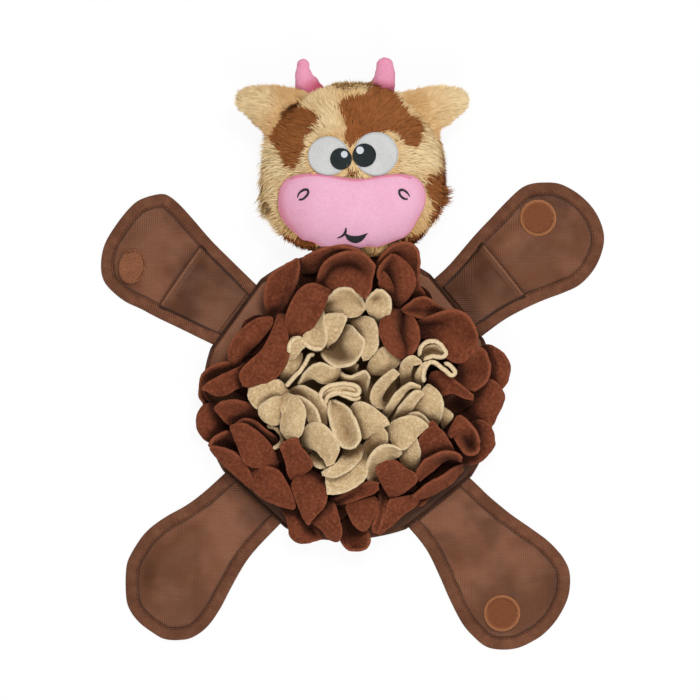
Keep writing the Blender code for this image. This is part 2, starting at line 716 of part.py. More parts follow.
def make_neck_tab(joint, nylon):
    """The strap from the disc's seam to the back of the head, lying under the chin."""
    end_share = (HEAD_CENTRE.y - SEAM_DISTANCE - SEAM_CLEARANCE - NECK_TAB_LENGTH) / HEAD_HALF_LENGTH
    end_low = back_height(end_share) - CLEARANCE - LIMB_CLOTH
    root = NECK_TAB_WIDTH / 2
    tip = root - NECK_TAB_TAPER
    corners = ((CLEARANCE, -root, CLEARANCE), (CLEARANCE, root, CLEARANCE),
               (NECK_TAB_LENGTH, tip, end_low), (NECK_TAB_LENGTH, -tip, end_low))
    builder = bmesh.new()
    lower = [builder.verts.new((x, y, low - EDGE_HEIGHT)) for x, y, low in corners]
    upper = [builder.verts.new((x, y, low + LIMB_CLOTH - EDGE_HEIGHT)) for x, y, low in corners]
    join_rows(builder, lower, upper)
    builder.faces.new(lower)
    builder.faces.new(upper)
    add_object("neck_tab", builder, nylon, joint)


def head_place(shares):
    """A place on the head, given as shares of its half width and half length."""
    across, along = shares
    return HEAD_CENTRE + Vector((across * HEAD_HALF_WIDTH, along * HEAD_HALF_LENGTH, 0))


MUZZLE_CENTRE = head_place(muzzle_place_shares)


def muzzle_place(shares, half_length):
    across, along = shares
    return MUZZLE_CENTRE + Vector((across * MUZZLE_HALF_WIDTH, along * half_length, 0))


def muzzle_radius(angle):
    """The muzzle's outline: broad above, dipped between the cheeks, narrower below."""
    power = 2.5
    up = MUZZLE_UP if math.sin(angle) > 0 else MUZZLE_DOWN
    wide = MUZZLE_HALF_WIDTH * (1 + 0.06 * math.sin(angle))
    radius = ((abs(math.cos(angle)) / wide) ** power + (abs(math.sin(angle)) / up) ** power) ** (-1 / power)
    aside = radius * math.cos(angle)
    if math.sin(angle) > 0:
        radius -= MUZZLE_DIP * math.exp(-((aside / MUZZLE_DIP_WIDTH) ** 2))
    return radius


def muzzle_lift(share):
    return CLEARANCE + FELT + MUZZLE_PUFF * max(1 - share ** 2.4, 0) ** 0.6


def muzzle_surface(place):
    offset = Vector((place.x - MUZZLE_CENTRE.x, place.y - MUZZLE_CENTRE.y))
    share = offset.length / muzzle_radius(math.atan2(offset.y, offset.x))
    return head_surface(place) + muzzle_lift(min(share, 1))


def make_patch(name, centre, radius_at, shares, surface, lift, thickness, material, joint, sides=20):
    """A round patch that follows the surface under it."""
    builder = bmesh.new()

    def ring(share, height):
        row = []
        for step in range(sides if share > 0 else 1):
            angle = math.tau * step / sides
            place = centre + polar(radius_at(angle) * share, angle)
            place.z = surface(place) + height(share)
            row.append(builder.verts.new(place))
        return row
    over = [ring(share, lambda share: lift + thickness(share)) for share in (0, *shares)]
    under = [ring(share, lambda share: lift) for share in (0, *shares)]
    rows = over + under[::-1]
    for first, second in zip(rows, rows[1:]):
        join_rows(builder, first, second)
    return add_object(name, builder, material, joint, in_world=True, smooth=60)


def make_muzzle(joint, velour, sides=32):
    """A puffy pad whose underside is cut to the head."""
    builder = bmesh.new()
    rows = []
    for share in (0, 0.3, 0.55, 0.75, 0.89, 0.97, 1.0):
        row = []
        for step in range(sides if share > 0 else 1):
            angle = math.tau * step / sides
            place = MUZZLE_CENTRE + polar(muzzle_radius(angle) * share, angle)
            place.z = head_surface(place) + muzzle_lift(share)
            row.append(builder.verts.new(place))
        rows.append(row)
    rows.append([builder.verts.new((corner.co.x, corner.co.y, HEAD_MIDDLE)) for corner in rows[-1]])
    rows.append([builder.verts.new((MUZZLE_CENTRE.x, MUZZLE_CENTRE.y, HEAD_MIDDLE))])
    for first, second in zip(rows, rows[1:]):
        join_rows(builder, first, second)
    muzzle = add_object("muzzle", builder, velour, joint, in_world=True, smooth=60)
    cut_to_seat(muzzle, make_head_cutter())


def make_ribbon(name, line, half_widths, surface, material, joint):
    """Raised stitching along a line, following the surface under it."""
    builder = bmesh.new()
    sections = []
    for index, point in enumerate(line):
        before = line[max(index - 1, 0)]
        after = line[min(index + 1, len(line) - 1)]
        run = (after - before).normalized()
        side = Vector((-run.y, run.x, 0)) * half_widths[index]
        section = []
        top = CLEARANCE + STITCHING
        for edge, lift in ((-1, CLEARANCE), (0, CLEARANCE), (1, CLEARANCE), (1, top), (0, top), (-1, top)):
            place = Vector((point.x, point.y, 0)) + side * edge
            place.z = surface(place) + lift
            section.append(builder.verts.new(place))
        sections.append(section)
    for first, second in zip(sections, sections[1:]):
        join_rows(builder, first, second)
    for end in (sections[0], sections[-1]):
        builder.faces.new(end)
    return add_object(name, builder, material, joint, in_world=True)


def make_face(joint, velour, white, dark, glint, thread):
    make_muzzle(joint, velour)

    def round_edge(radius):
        return lambda angle: radius

    def felt_over(layers):
        return lambda place: head_surface(place) + layers
    over_eye = FELT + CLEARANCE
    over_pupil = over_eye + PUPIL_FELT + CLEARANCE
    for side in ("left", "right"):
        size = eye_size_shares[side]
        eye = head_place(eye_place_shares[side])
        make_patch(f"eye_white_{side}", eye, round_edge(EYE_RADIUS * size), (0.6, 1.0),
                   head_surface, CLEARANCE, lambda share: FELT, white, joint)
        pupil = head_place(pupil_place_shares[side])
        make_patch(f"pupil_{side}", pupil, round_edge(PUPIL_RADIUS * size), (0.6, 1.0),
                   felt_over(over_eye), CLEARANCE, lambda share: PUPIL_FELT, dark, joint, sides=16)
        across, along = glint_place_shares[side]
        spot = pupil + Vector((across * PUPIL_RADIUS, along * PUPIL_RADIUS, 0))
        make_patch(f"eye_glint_{side}", spot, round_edge(GLINT_RADIUS * size), (1.0,),
                   felt_over(over_pupil), CLEARANCE, lambda share: STITCHING, glint, joint, sides=10)

    for side, sign in (("left", -1), ("right", 1)):
        across, along = nostril_place_shares
        centre = muzzle_place((sign * across, along), MUZZLE_UP)
        line = []
        for step in range(11):
            angle = math.radians(-100 + 290 * step / 10)
            run = NOSTRIL_HALF_LENGTH * math.cos(angle)
            rise = NOSTRIL_HALF_WIDTH * math.sin(angle)
            turned = run * math.cos(nostril_tilt) - rise * math.sin(nostril_tilt)
            lifted = run * math.sin(nostril_tilt) + rise * math.cos(nostril_tilt)
            line.append(centre + Vector((-sign * turned, lifted, 0)))
        make_ribbon(f"nostril_{side}", line, [NOSTRIL_STROKE] * len(line), muzzle_surface, thread, joint)

    left = muzzle_place(mouth_end_shares["left"], MUZZLE_DOWN)
    right = muzzle_place(mouth_end_shares["right"], MUZZLE_DOWN)
    line = []
    widths = []
    for step in range(9):
        share = step / 8
        hang = 4 * share * (1 - share)
        line.append(left.lerp(right, share) - Vector((0, MOUTH_HANG * hang, 0)))
        widths.append(MOUTH_END_STROKE + MOUTH_SWELL * hang)
    make_ribbon("mouth", line, widths, muzzle_surface, thread, joint)


def make_horn(side, joint, velour):
    """A stuffed horn: oval sections along a bowed centre line, with a rounded tip."""
    base_angle = math.tau * horn_base_turn_shares[side]
    tip = head_place(horn_tip_shares[side])
    bow = horn_bow_shares[side] * HORN_WIDTH
    base = HEAD_CENTRE + polar(head_radius(base_angle) + CLEARANCE, base_angle)
    sides = 12
    builder = bmesh.new()
    rows = []
    for share in horn_row_shares:
        centre = base.lerp(tip, share) + Vector((bow * 4 * share * (1 - share), 0, HEAD_MIDDLE))
        run = polar(1, base_angle).lerp((tip - base).normalized(), min(2 * share, 1)).normalized()
        aside = Vector((run.y, -run.x, 0))
        rounding = max(share - horn_blunt_share, 0) / (1 - horn_blunt_share)
        blunt = math.sqrt(max(1 - rounding ** 2, 0.1))
        half = (HORN_WIDTH + (HORN_TIP_WIDTH - HORN_WIDTH) * share ** 0.7) / 2 * blunt
        deep = HORN_DEPTH / HORN_WIDTH * half
        rows.append([builder.verts.new(centre + aside * half * math.cos(math.tau * step / sides)
                                       + Vector((0, 0, deep * math.sin(math.tau * step / sides))))
                     for step in range(sides)])
    rows.append([builder.verts.new(tip + Vector((0, 0, HEAD_MIDDLE)))])
    for first, second in zip(rows, rows[1:]):
        join_rows(builder, first, second)
    builder.faces.new(rows[0])
    add_object(f"horn_{side}", builder, velour, joint, in_world=True, smooth=60)


def ear_thickness(share):
    """Thin where it is sewn in, full a little way out, thinner towards the tip."""
    if share < ear_swell_share:
        return EAR_ROOT_THICKNESS + (EAR_THICKNESS - EAR_ROOT_THICKNESS) * share / ear_swell_share
    if share == 1:
        return EAR_ROOT_THICKNESS
    along = (share - ear_swell_share) / (1 - ear_swell_share)
    return EAR_THICKNESS + (EAR_TIP_THICKNESS - EAR_THICKNESS) * along


def make_ear(side, head_joint, fur):
    """A flat stuffed ear whose root follows the head's seam."""
    root_start, root_end = ear_root_turn_shares[side]
    tip_start, tip_end = ear_tip_turn_shares[side]
    middle = math.tau * (root_start + root_end) / 2
    pivot = HEAD_CENTRE + polar(head_radius(middle) + EAR_ROOT_CLEARANCE, middle)
    pivot.z = HEAD_MIDDLE
    joint = add_joint(f"ear_{side}_joint", pivot, middle, parent=head_joint)
    outward = 1 if side == "left" else -1
    builder = bmesh.new()
    columns = 6
    rows = []
    for share in ear_row_shares:
        over = []
        under = []
        for step in range(columns + 1):
            across = step / columns
            bulge = 2 * across - 1
            root_angle = math.tau * (root_start + (root_end - root_start) * across)
            tip_angle = math.tau * (tip_start + (tip_end - tip_start) * across)
            root_point = HEAD_CENTRE + polar(head_radius(root_angle) + EAR_ROOT_CLEARANCE, root_angle)
            tip_point = HEAD_CENTRE + polar(EAR_REACH * (1 - 0.12 * bulge ** 2), tip_angle)
            swell = math.sin(math.pi * share) * 0.05 * bulge * outward
            place = root_point.lerp(tip_point, share)
            place -= (tip_point - root_point).cross(Vector((0, 0, 1))) * swell
            rounded = ear_edge_share + (1 - ear_edge_share) * math.sqrt(max(1 - bulge ** 2, 0))
            half = ear_thickness(share) / 2 * rounded
            over.append(builder.verts.new(place + Vector((0, 0, HEAD_MIDDLE + half))))
            under.append(builder.verts.new(place + Vector((0, 0, HEAD_MIDDLE - half))))
        rows.append(over + under[::-1])
    for first, second in zip(rows, rows[1:]):
        join_rows(builder, first, second)
    for end in (rows[0], rows[-1]):
        for step in range(columns):
            builder.faces.new((end[step], end[step + 1], end[-2 - step], end[-1 - step]))
    add_object(f"ear_{side}", builder, fur, joint, in_world=True, smooth=60)


def make_head(nylon, fur, velour, rose, padding, plastic, white, dark, glint, thread):
    place = polar(SEAM_DISTANCE + SEAM_CLEARANCE, math.radians(NECK_AZIMUTH))
    place.z = EDGE_HEIGHT
    joint = add_joint("neck_joint", place, math.radians(NECK_AZIMUTH))
    make_neck_tab(joint, nylon)
    make_head_ball(joint, fur, padding, plastic)
    make_face(joint, velour, white, dark, glint, thread)
    for side in ("left", "right"):
        make_horn(side, joint, rose)
        make_ear(side, joint, fur)


def main():
    clear_scene()
    nylon = make_material("brown nylon", (115, 72, 52), 0.5)
    tape = make_material("grosgrain tape", (105, 62, 42), 0.7)
    padding = make_material("polyester filling", (235, 235, 230), 0.95)
    brown = make_material("brown fleece", (128, 62, 40), 1.0, 0.3)
    cream = make_material("cream fleece", (214, 188, 142), 1.0, 0.3)
    hook = make_material("hook fastener", (140, 82, 48), 0.6)
    loop = make_material("loop fastener", (130, 85, 60), 0.95, 0.2)
    fur = make_material("cream fur", (230, 198, 142), 1.0, 0.3)
    velour = make_material("pink velour", (235, 170, 205), 0.9, 0.4)
    rose = make_material("rose velour", (230, 140, 180), 0.9, 0.4)
    plastic = make_material("squeaker plastic", (235, 235, 235), 0.35)
    white = make_material("white felt", (222, 222, 224), 0.9)
    dark = make_material("charcoal felt", (38, 43, 45), 0.9)
    glint = make_material("pale thread", (195, 200, 203), 0.7)
    thread = make_material("black thread", (35, 35, 38), 0.6)
    make_body_disc(nylon, tape, padding)
    make_petals(brown, cream)
    make_limbs(nylon, tape, hook, loop)
    make_head(nylon, fur, velour, rose, padding, plastic, white, dark, glint, thread)


main()
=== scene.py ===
"""Looks of the plush snuffle toy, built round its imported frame.

Metres, +Z up, +Y towards the head. The toy lies flat on the floor at z = 0, its face and petals up.
"""
import math

import bmesh
import bpy
import numpy as np
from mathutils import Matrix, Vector, kdtree, noise
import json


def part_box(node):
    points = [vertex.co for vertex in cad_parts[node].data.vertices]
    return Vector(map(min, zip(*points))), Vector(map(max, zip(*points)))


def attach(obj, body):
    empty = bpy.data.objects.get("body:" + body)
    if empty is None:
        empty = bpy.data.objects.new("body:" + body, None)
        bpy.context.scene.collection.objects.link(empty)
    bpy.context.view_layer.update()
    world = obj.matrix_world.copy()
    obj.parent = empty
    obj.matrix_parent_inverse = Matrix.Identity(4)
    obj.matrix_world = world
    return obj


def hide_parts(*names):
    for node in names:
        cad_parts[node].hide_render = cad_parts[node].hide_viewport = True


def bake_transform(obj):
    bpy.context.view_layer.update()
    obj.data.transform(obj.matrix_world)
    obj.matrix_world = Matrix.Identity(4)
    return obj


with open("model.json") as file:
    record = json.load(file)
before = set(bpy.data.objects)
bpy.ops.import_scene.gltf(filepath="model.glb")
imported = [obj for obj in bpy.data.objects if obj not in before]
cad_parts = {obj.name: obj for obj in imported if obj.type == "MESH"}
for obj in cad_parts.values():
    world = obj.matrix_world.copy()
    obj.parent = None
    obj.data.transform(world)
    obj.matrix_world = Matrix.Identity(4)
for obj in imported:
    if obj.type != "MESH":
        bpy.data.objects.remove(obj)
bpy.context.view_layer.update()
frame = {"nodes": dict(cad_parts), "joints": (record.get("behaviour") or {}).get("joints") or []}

MM = 0.001
random = np.random.default_rng(11)

# The photograph: metres for each of its pixels on the floor, and the pixel over the origin
PIXEL = 0.72 * MM
ZERO_COLUMN = 349
ZERO_ROW = 396
PICTURE_SIZE = 700
CAMERA_HEIGHT = 3.2
AIM_X = (PICTURE_SIZE / 2 - ZERO_COLUMN) * PIXEL
AIM_Y = (ZERO_ROW - PICTURE_SIZE / 2) * PIXEL

# Sizes taken from the frame
BODY_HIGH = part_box("edge_binding")[1].z
BODY_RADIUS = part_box("edge_binding")[1].x
PANEL_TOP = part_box("top_panel")[1].z
SEAM_DISTANCE = math.hypot(*frame["joints"][0]["pos_m"][:2])
HEAD_LOW, HEAD_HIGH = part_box("head_front_cover")
HEAD_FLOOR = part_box("head_back_cover")[0].z
HEAD_CENTRE = Vector(((HEAD_LOW.x + HEAD_HIGH.x) / 2, (HEAD_LOW.y + HEAD_HIGH.y) / 2, 0))
HEAD_HALF_WIDTH = (HEAD_HIGH.x - HEAD_LOW.x) / 2
HEAD_HALF_LENGTH = (HEAD_HIGH.y - HEAD_LOW.y) / 2
HEAD_MIDDLE = HEAD_LOW.z
HEAD_FRONT = HEAD_HIGH.z - HEAD_MIDDLE
HEAD_BACK = HEAD_MIDDLE - HEAD_FLOOR

FLEECE = 2.5 * MM
NYLON = 0.7 * MM


def spot(column, row, height=0.0):
    """The place at a height that the camera shows at a pixel of the photograph."""
    x = (column - ZERO_COLUMN) * PIXEL
    y = (ZERO_ROW - row) * PIXEL
    nearer = (CAMERA_HEIGHT - height) / CAMERA_HEIGHT
    return np.array((AIM_X + (x - AIM_X) * nearer, AIM_Y + (y - AIM_Y) * nearer, height))


def pixel_of(points):
    """The pixel of the photograph at which the camera shows each point."""
    points = np.asarray(points, float)
    nearer = CAMERA_HEIGHT / (CAMERA_HEIGHT - points[..., 2])
    column = ZERO_COLUMN + (AIM_X + (points[..., 0] - AIM_X) * nearer) / PIXEL
    row = ZERO_ROW - (AIM_Y + (points[..., 1] - AIM_Y) * nearer) / PIXEL
    return column, row


def linear(colour):
    parts = [channel / 255 for channel in colour]
    return (*[part / 12.92 if part <= 0.04045 else ((part + 0.055) / 1.055) ** 2.4 for part in parts], 1)


def smooth(value):
    held = np.clip(value, 0, 1)
    return held * held * (3 - 2 * held)


# Materials

class Finish:
    """A material whose colour and bump come from nodes in the piece's own coordinates."""

    def __init__(self, name, roughness, specular=0.3, sheen=0.0, sheen_colour=(255, 255, 255)):
        self.material = bpy.data.materials.new(name)
        self.material.use_nodes = True
        self.tree = self.material.node_tree
        self.shader = self.tree.nodes["Principled BSDF"]
        self.shader.inputs["Roughness"].default_value = roughness
        self.shader.inputs["Specular IOR Level"].default_value = specular
        self.shader.inputs["Sheen Weight"].default_value = sheen
        self.shader.inputs["Sheen Roughness"].default_value = 0.5
        self.shader.inputs["Sheen Tint"].default_value = linear(sheen_colour)
        self.place = self.tree.nodes.new("ShaderNodeTexCoord").outputs["Object"]

    def link(self, source, target):
        self.tree.links.new(source, target)

    def attribute(self, name, output="Fac"):
        node = self.tree.nodes.new("ShaderNodeAttribute")
        node.attribute_name = name
        return node.outputs[output]

    def stretched(self, source, scale):
        node = self.tree.nodes.new("ShaderNodeMapping")
        node.inputs["Scale"].default_value = scale
        self.link(source, node.inputs["Vector"])
        return node.outputs["Vector"]

    def cloud(self, size, detail=2.0, place=None, contrast=None):
        """Noise with spots of about a size in metres, from 0 to 1."""
        node = self.tree.nodes.new("ShaderNodeTexNoise")
        node.inputs["Scale"].default_value = 1 / size
        node.inputs["Detail"].default_value = detail
        self.link(place or self.place, node.inputs["Vector"])
        out = node.outputs["Fac"]
        return self.span(out, *contrast) if contrast else out

    def span(self, source, low, high):
        """Stretches the range from low to high over 0 to 1."""
        node = self.tree.nodes.new("ShaderNodeMapRange")
        node.inputs["From Min"].default_value = low
        node.inputs["From Max"].default_value = high
        self.link(source, node.inputs["Value"])
        return node.outputs["Result"]

    def calculate(self, operation, first, second=None):
        node = self.tree.nodes.new("ShaderNodeMath")
        node.operation = operation
        for socket, value in zip(node.inputs, (first, second)):
            if value is None:
                continue
            if isinstance(value, (int, float)):
                socket.default_value = value
            else:
                self.link(value, socket)
        return node.outputs["Value"]

    def ribs(self, distance, pitch):
        """A row of ribs, 0 to 1, for each pitch of a distance attribute in metres."""
        turned = self.calculate("MULTIPLY", distance, math.tau / pitch)
        wave = self.calculate("SINE", turned)
        return self.span(wave, -1, 1)

    def mix(self, factor, first, second):
        node = self.tree.nodes.new("ShaderNodeMix")
        node.data_type = "RGBA"
        factor_in, first_in, second_in = node.inputs[0], node.inputs[6], node.inputs[7]
        for socket, value in ((factor_in, factor), (first_in, first), (second_in, second)):
            if isinstance(value, tuple):
                socket.default_value = linear(value)
            elif isinstance(value, (int, float)):
                socket.default_value = value
            else:
                self.link(value, socket)
        return node.outputs[2]

    def bump(self, height, distance, strength=1.0, under=None):
        node = self.tree.nodes.new("ShaderNodeBump")
        node.inputs["Distance"].default_value = distance
        node.inputs["Strength"].default_value = strength
        self.link(height, node.inputs["Height"])
        if under is not None:
            self.link(under, node.inputs["Normal"])
        return node.outputs["Normal"]

    def done(self, colour, normal=None):
        self.link(colour, self.shader.inputs["Base Color"])
        if normal is not None:
            self.link(normal, self.shader.inputs["Normal"])
        return self.material


def fleece_finish(name, colour, pale, dark, painted_shade_colour, sheen_colour, edge_fuzz_and_highlight_share):
    """Fleece: short matted pile; cut edges paler, partly by their fuzz and partly a painted highlight; painted light on
    crests and painted shade in the hollows.
    """
    finish = Finish(name, 0.95, 0.1, 0.2, sheen_colour)
    patches = finish.cloud(9 * MM, 3, contrast=(0.38, 0.62))
    pile = finish.cloud(2.3 * MM, 3, contrast=(0.38, 0.62))
    fuzz = finish.cloud(1.15 * MM, 2, contrast=(0.36, 0.64))
    shade = finish.mix(finish.calculate("MULTIPLY", patches, 0.5), colour, dark)
    shade = finish.mix(finish.calculate("MULTIPLY", pile, 0.55), shade, pale)
    shade = finish.mix(finish.calculate("MULTIPLY", fuzz, 0.55), shade, dark)
    # painted light: a petal that stands over its neighbours is drawn paler
    shade = finish.mix(finish.calculate("MULTIPLY", finish.attribute("painted_crest_light"), 0.25), shade, pale)
    # paler cut edges: partly the fuzz of the edge, partly a painted highlight where it catches light
    shade = finish.mix(finish.calculate("MULTIPLY", finish.attribute("rim"), edge_fuzz_and_highlight_share), shade, pale)
    # painted shade: dark where a petal lies under the ones around it
    shade = finish.mix(finish.calculate("MULTIPLY", finish.attribute("painted_shade"), 0.92), shade, painted_shade_colour)
    low = finish.bump(pile, 0.5 * MM, 0.6)
    return finish.done(shade, finish.bump(fuzz, 0.35 * MM, 0.8, low))


def nylon_finish(name, colour, bright, dark):
    """Coated oxford cloth: a fine square weave with a soft gloss, with painted sheen, painted light and painted shade.
    """
    finish = Finish(name, 0.45, 0.12, 0.0)
    along = finish.ribs(finish.attribute("cloth_along"), 1.6 * MM)
    across = finish.ribs(finish.attribute("cloth_across"), 1.6 * MM)
    where = finish.cloud(16 * MM, 2, contrast=(0.3, 0.7))
    weave = finish.calculate("ADD", finish.calculate("MULTIPLY", along, where),
                             finish.calculate("MULTIPLY", across, finish.calculate("SUBTRACT", 1, where)))
    slubs = finish.cloud(1.0, 3, finish.stretched(finish.place, (110, 900, 200)), (0.3, 0.7))
    # painted sheen and painted shade: broad random patches drawn towards the bright and the dark colour
    sheen = finish.cloud(34 * MM, 2, contrast=(0.42, 0.6))
    gloom = finish.cloud(27 * MM, 2, finish.stretched(finish.place, (1, 1, 0.3)), (0.5, 0.68))
    shade = finish.mix(finish.calculate("MULTIPLY", sheen, 0.5), colour, bright)
    shade = finish.mix(finish.calculate("MULTIPLY", gloom, 0.5), shade, dark)
    shade = finish.mix(finish.calculate("MULTIPLY", weave, 0.3), shade, dark)
    shade = finish.mix(finish.calculate("MULTIPLY", slubs, 0.18), shade, dark)
    # painted light where the piece marks its lit places
    shade = finish.mix(finish.calculate("MULTIPLY", finish.attribute("lit"), 0.55), shade, bright)
    # painted shade where the piece marks it: along seams, tapes, pocket mouths and shaded parts
    painted_cloth_shade = tuple(channel * share for channel, share in zip(dark, (0.44, 0.4, 0.36)))
    shade = finish.mix(finish.attribute("painted_cloth_shade"), shade, painted_cloth_shade)
    low = finish.bump(weave, 0.3 * MM, 0.7)
    return finish.done(shade, finish.bump(slubs, 0.15 * MM, 0.5, low))


def grosgrain_finish(name, colour, bright, dark, pitch=1.5 * MM):
    """Ribbed tape: ribs run across it."""
    finish = Finish(name, 0.8, 0.2, 0.05, (255, 220, 200))
    ribs = finish.ribs(finish.attribute("run"), pitch)
    wear = finish.cloud(6 * MM, 3, contrast=(0.3, 0.7))
    fuzz = finish.cloud(0.8 * MM, 2, contrast=(0.3, 0.7))
    worn = finish.cloud(19 * MM, 2, contrast=(0.42, 0.62))
    shade = finish.mix(finish.calculate("SUBTRACT", 1, finish.calculate("MULTIPLY", ribs, 0.55)), colour, dark)
    shade = finish.mix(finish.calculate("MULTIPLY", wear, 0.35), shade, bright)
    shade = finish.mix(finish.calculate("MULTIPLY", worn, 0.45), shade, dark)
    shade = finish.mix(finish.calculate("MULTIPLY", fuzz, 0.2), shade, dark)
    # painted shade where the piece marks it, as beside the seams
    shade = finish.mix(finish.attribute("painted_cloth_shade"), shade, tuple(channel * 0.4 for channel in dark))
    low = finish.bump(ribs, 0.35 * MM, 0.8)
    return finish.done(shade, finish.bump(fuzz, 0.15 * MM, 0.6, low))


def pile_finish(name, root, tip, warm):
    """Fur locks: dark at the root, pale at the tip, each lock a little different."""
    finish = Finish(name, 0.75, 0.2, 0.25, tip)
    tone = finish.attribute("tone")
    hue = finish.attribute("hue")
    shade = finish.mix(finish.calculate("MULTIPLY", hue, 0.7), tip, warm)
    return finish.done(finish.mix(tone, root, shade))


def felt_finish(name, colour, second, size, share, roughness=0.9, sheen=0.2, depth=0.3 * MM, painted_shade_colour=None):
    """Felt, velour or thread: a matt nap with a fine fleck, and painted shade where a piece marks it."""
    finish = Finish(name, roughness, 0.15, sheen, second)
    fleck = finish.cloud(size, 3, contrast=(0.3, 0.7))
    soft = finish.cloud(size * 9, 2, contrast=(0.3, 0.7))
    shade = finish.mix(finish.calculate("MULTIPLY", fleck, share), colour, second)
    shade = finish.mix(finish.calculate("MULTIPLY", soft, share * 0.6), shade, second)
    # painted shade, where the piece marks it
    if painted_shade_colour:
        shade = finish.mix(finish.attribute("painted_shade"), shade, painted_shade_colour)
    return finish.done(shade, finish.bump(fleck, depth, 0.6))


def hook_finish(name, colour, bright, welt, pitch):
    """Hook tape: fine rows of stiff hooks."""
    finish = Finish(name, 0.7, 0.12)
    across = finish.ribs(finish.attribute("cloth_across"), pitch)
    along = finish.ribs(finish.attribute("cloth_along"), pitch * 0.8)
    rows = finish.calculate("MULTIPLY", across, along)
    worn = finish.cloud(1.2 * MM, 2, contrast=(0.3, 0.7))
    shade = finish.mix(finish.calculate("MULTIPLY", rows, 0.6), colour, bright)
    shade = finish.mix(finish.calculate("MULTIPLY", worn, 0.3), shade, bright)
    shade = finish.mix(finish.attribute("welt"), shade, welt)
    return finish.done(shade, finish.bump(rows, 0.5 * MM, 0.8))


def make_finishes():
    return {
        # fleece colours: base, pale pile that also gives the painted highlight on crests and edges, dark, painted shade
        # in the hollows, sheen tint, share of the pale edge
        "brown_fleece": fleece_finish("brown fleece", (114, 58, 36), (152, 86, 59), (76, 34, 19),
                                      (36, 14, 7), (235, 150, 115), 0.45),
        "cream_fleece": fleece_finish("cream fleece", (212, 182, 138), (241, 218, 179), (168, 136, 92),
                                      (108, 77, 44), (255, 240, 210), 0.6),
        # nylon colours: base, bright for the painted sheen and light, dark for the weave and the painted shade
        "nylon": nylon_finish("brown oxford nylon", (112, 69, 46), (150, 101, 76), (72, 42, 25)),
        "pocket_nylon": nylon_finish("brown pocket nylon", (89, 53, 33), (132, 88, 65), (56, 32, 18)),
        "tape": grosgrain_finish("grosgrain tape", (136, 86, 60), (150, 100, 72), (80, 44, 27)),
        "edge_tape": grosgrain_finish("narrow edge tape", (108, 66, 45), (126, 82, 58), (66, 37, 23)),
        "cream_fur": pile_finish("cream fur", (216, 177, 117), (243, 221, 175), (207, 148, 77)),
        "brown_fur": pile_finish("brown fur", (102, 55, 24), (162, 99, 51), (144, 76, 28)),
        "cream_skin": felt_finish("fur backing", (214, 172, 112), (232, 196, 140), 2 * MM, 0.5),
        "brown_skin": felt_finish("brown fur backing", (92, 50, 26), (120, 70, 40), 2 * MM, 0.5),
        # velours: the last colour is painted shade, at the muzzle's edge and lower left and at the horns' bases
        "velour": felt_finish("pink velour", (218, 158, 184), (232, 181, 204), 1.6 * MM, 0.5, 0.9, 0.25,
                              painted_shade_colour=(212, 128, 146)),
        "velour_rim": felt_finish("muzzle stitching", (208, 118, 142), (226, 146, 168), 0.9 * MM, 0.6),
        "rose_velour": felt_finish("rose velour", (212, 128, 158), (230, 168, 192), 1.3 * MM, 0.5, 0.9, 0.3,
                                   painted_shade_colour=(176, 62, 88)),
        "white_felt": felt_finish("white felt", (180, 180, 179), (206, 206, 205), 0.9 * MM, 0.7),
        "rim_felt": felt_finish("grey edge thread", (172, 172, 170), (196, 196, 194), 0.8 * MM, 0.6),
        "dark_felt": felt_finish("charcoal felt", (22, 28, 29), (48, 54, 55), 0.8 * MM, 0.6),
        "pale_thread": felt_finish("pale thread", (188, 194, 198), (206, 210, 214), 0.8 * MM, 0.5),
        "black_thread": felt_finish("black thread", (26, 27, 30), (50, 50, 54), 0.6 * MM, 0.5, 0.6, 0.0),
        "brown_thread": felt_finish("brown thread", (70, 38, 26), (96, 58, 42), 0.6 * MM, 0.5, 0.6, 0.0),
        "pale_stitch": felt_finish("hem thread", (142, 96, 68), (166, 120, 90), 0.6 * MM, 0.5, 0.6, 0.0),
        "hook": hook_finish("hook tape", (108, 60, 34), (142, 88, 56), (172, 114, 76), 1.4 * MM),
        "loop": felt_finish("loop tape", (108, 64, 42), (148, 96, 68), 1.0 * MM, 0.8, 0.95, 0.4, 0.8 * MM),
        "squeaker": felt_finish("squeaker plastic", (228, 228, 226), (238, 238, 236), 6 * MM, 0.3, 0.35, 0.0),
    }


finishes = make_finishes()


# Meshes

def mesh_object(name, vertices, faces, finish, attributes=None, flat=False):
    mesh = bpy.data.meshes.new(name)
    mesh.from_pydata([tuple(vertex) for vertex in vertices], [], faces)
    mesh.materials.append(finishes[finish])
    for label, values in (attributes or {}).items():
        layer = mesh.attributes.new(label, "FLOAT", "POINT")
        layer.data.foreach_set("value", np.asarray(values, np.float32).ravel())
    made = bpy.data.objects.new(name, mesh)
    bpy.context.scene.collection.objects.link(made)
    builder = bmesh.new()
    builder.from_mesh(mesh)
    bmesh.ops.remove_doubles(builder, verts=builder.verts[:], dist=0.004 * MM)
    bmesh.ops.dissolve_degenerate(builder, edges=builder.edges[:], dist=0.002 * MM)
    bmesh.ops.recalc_face_normals(builder, faces=builder.faces[:])
    builder.to_mesh(mesh)
    builder.free()
    if not flat:
        mesh.shade_smooth()
    return made


def settle(made, body, slot, *nodes):
    """Puts a finished piece on its body and lets it stand for CAD nodes."""
    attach(made, body)
    if nodes:
        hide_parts(*nodes)
    return made


def grid_normals(grid):
    along = np.gradient(grid, axis=0)
    across = np.gradient(grid, axis=1)
    normals = np.cross(along, across)
    sizes = np.linalg.norm(normals, axis=2, keepdims=True)
    normals = normals / np.maximum(sizes, 1e-12)
    return np.where(normals[..., 2:].sum() < 0, -normals, normals)


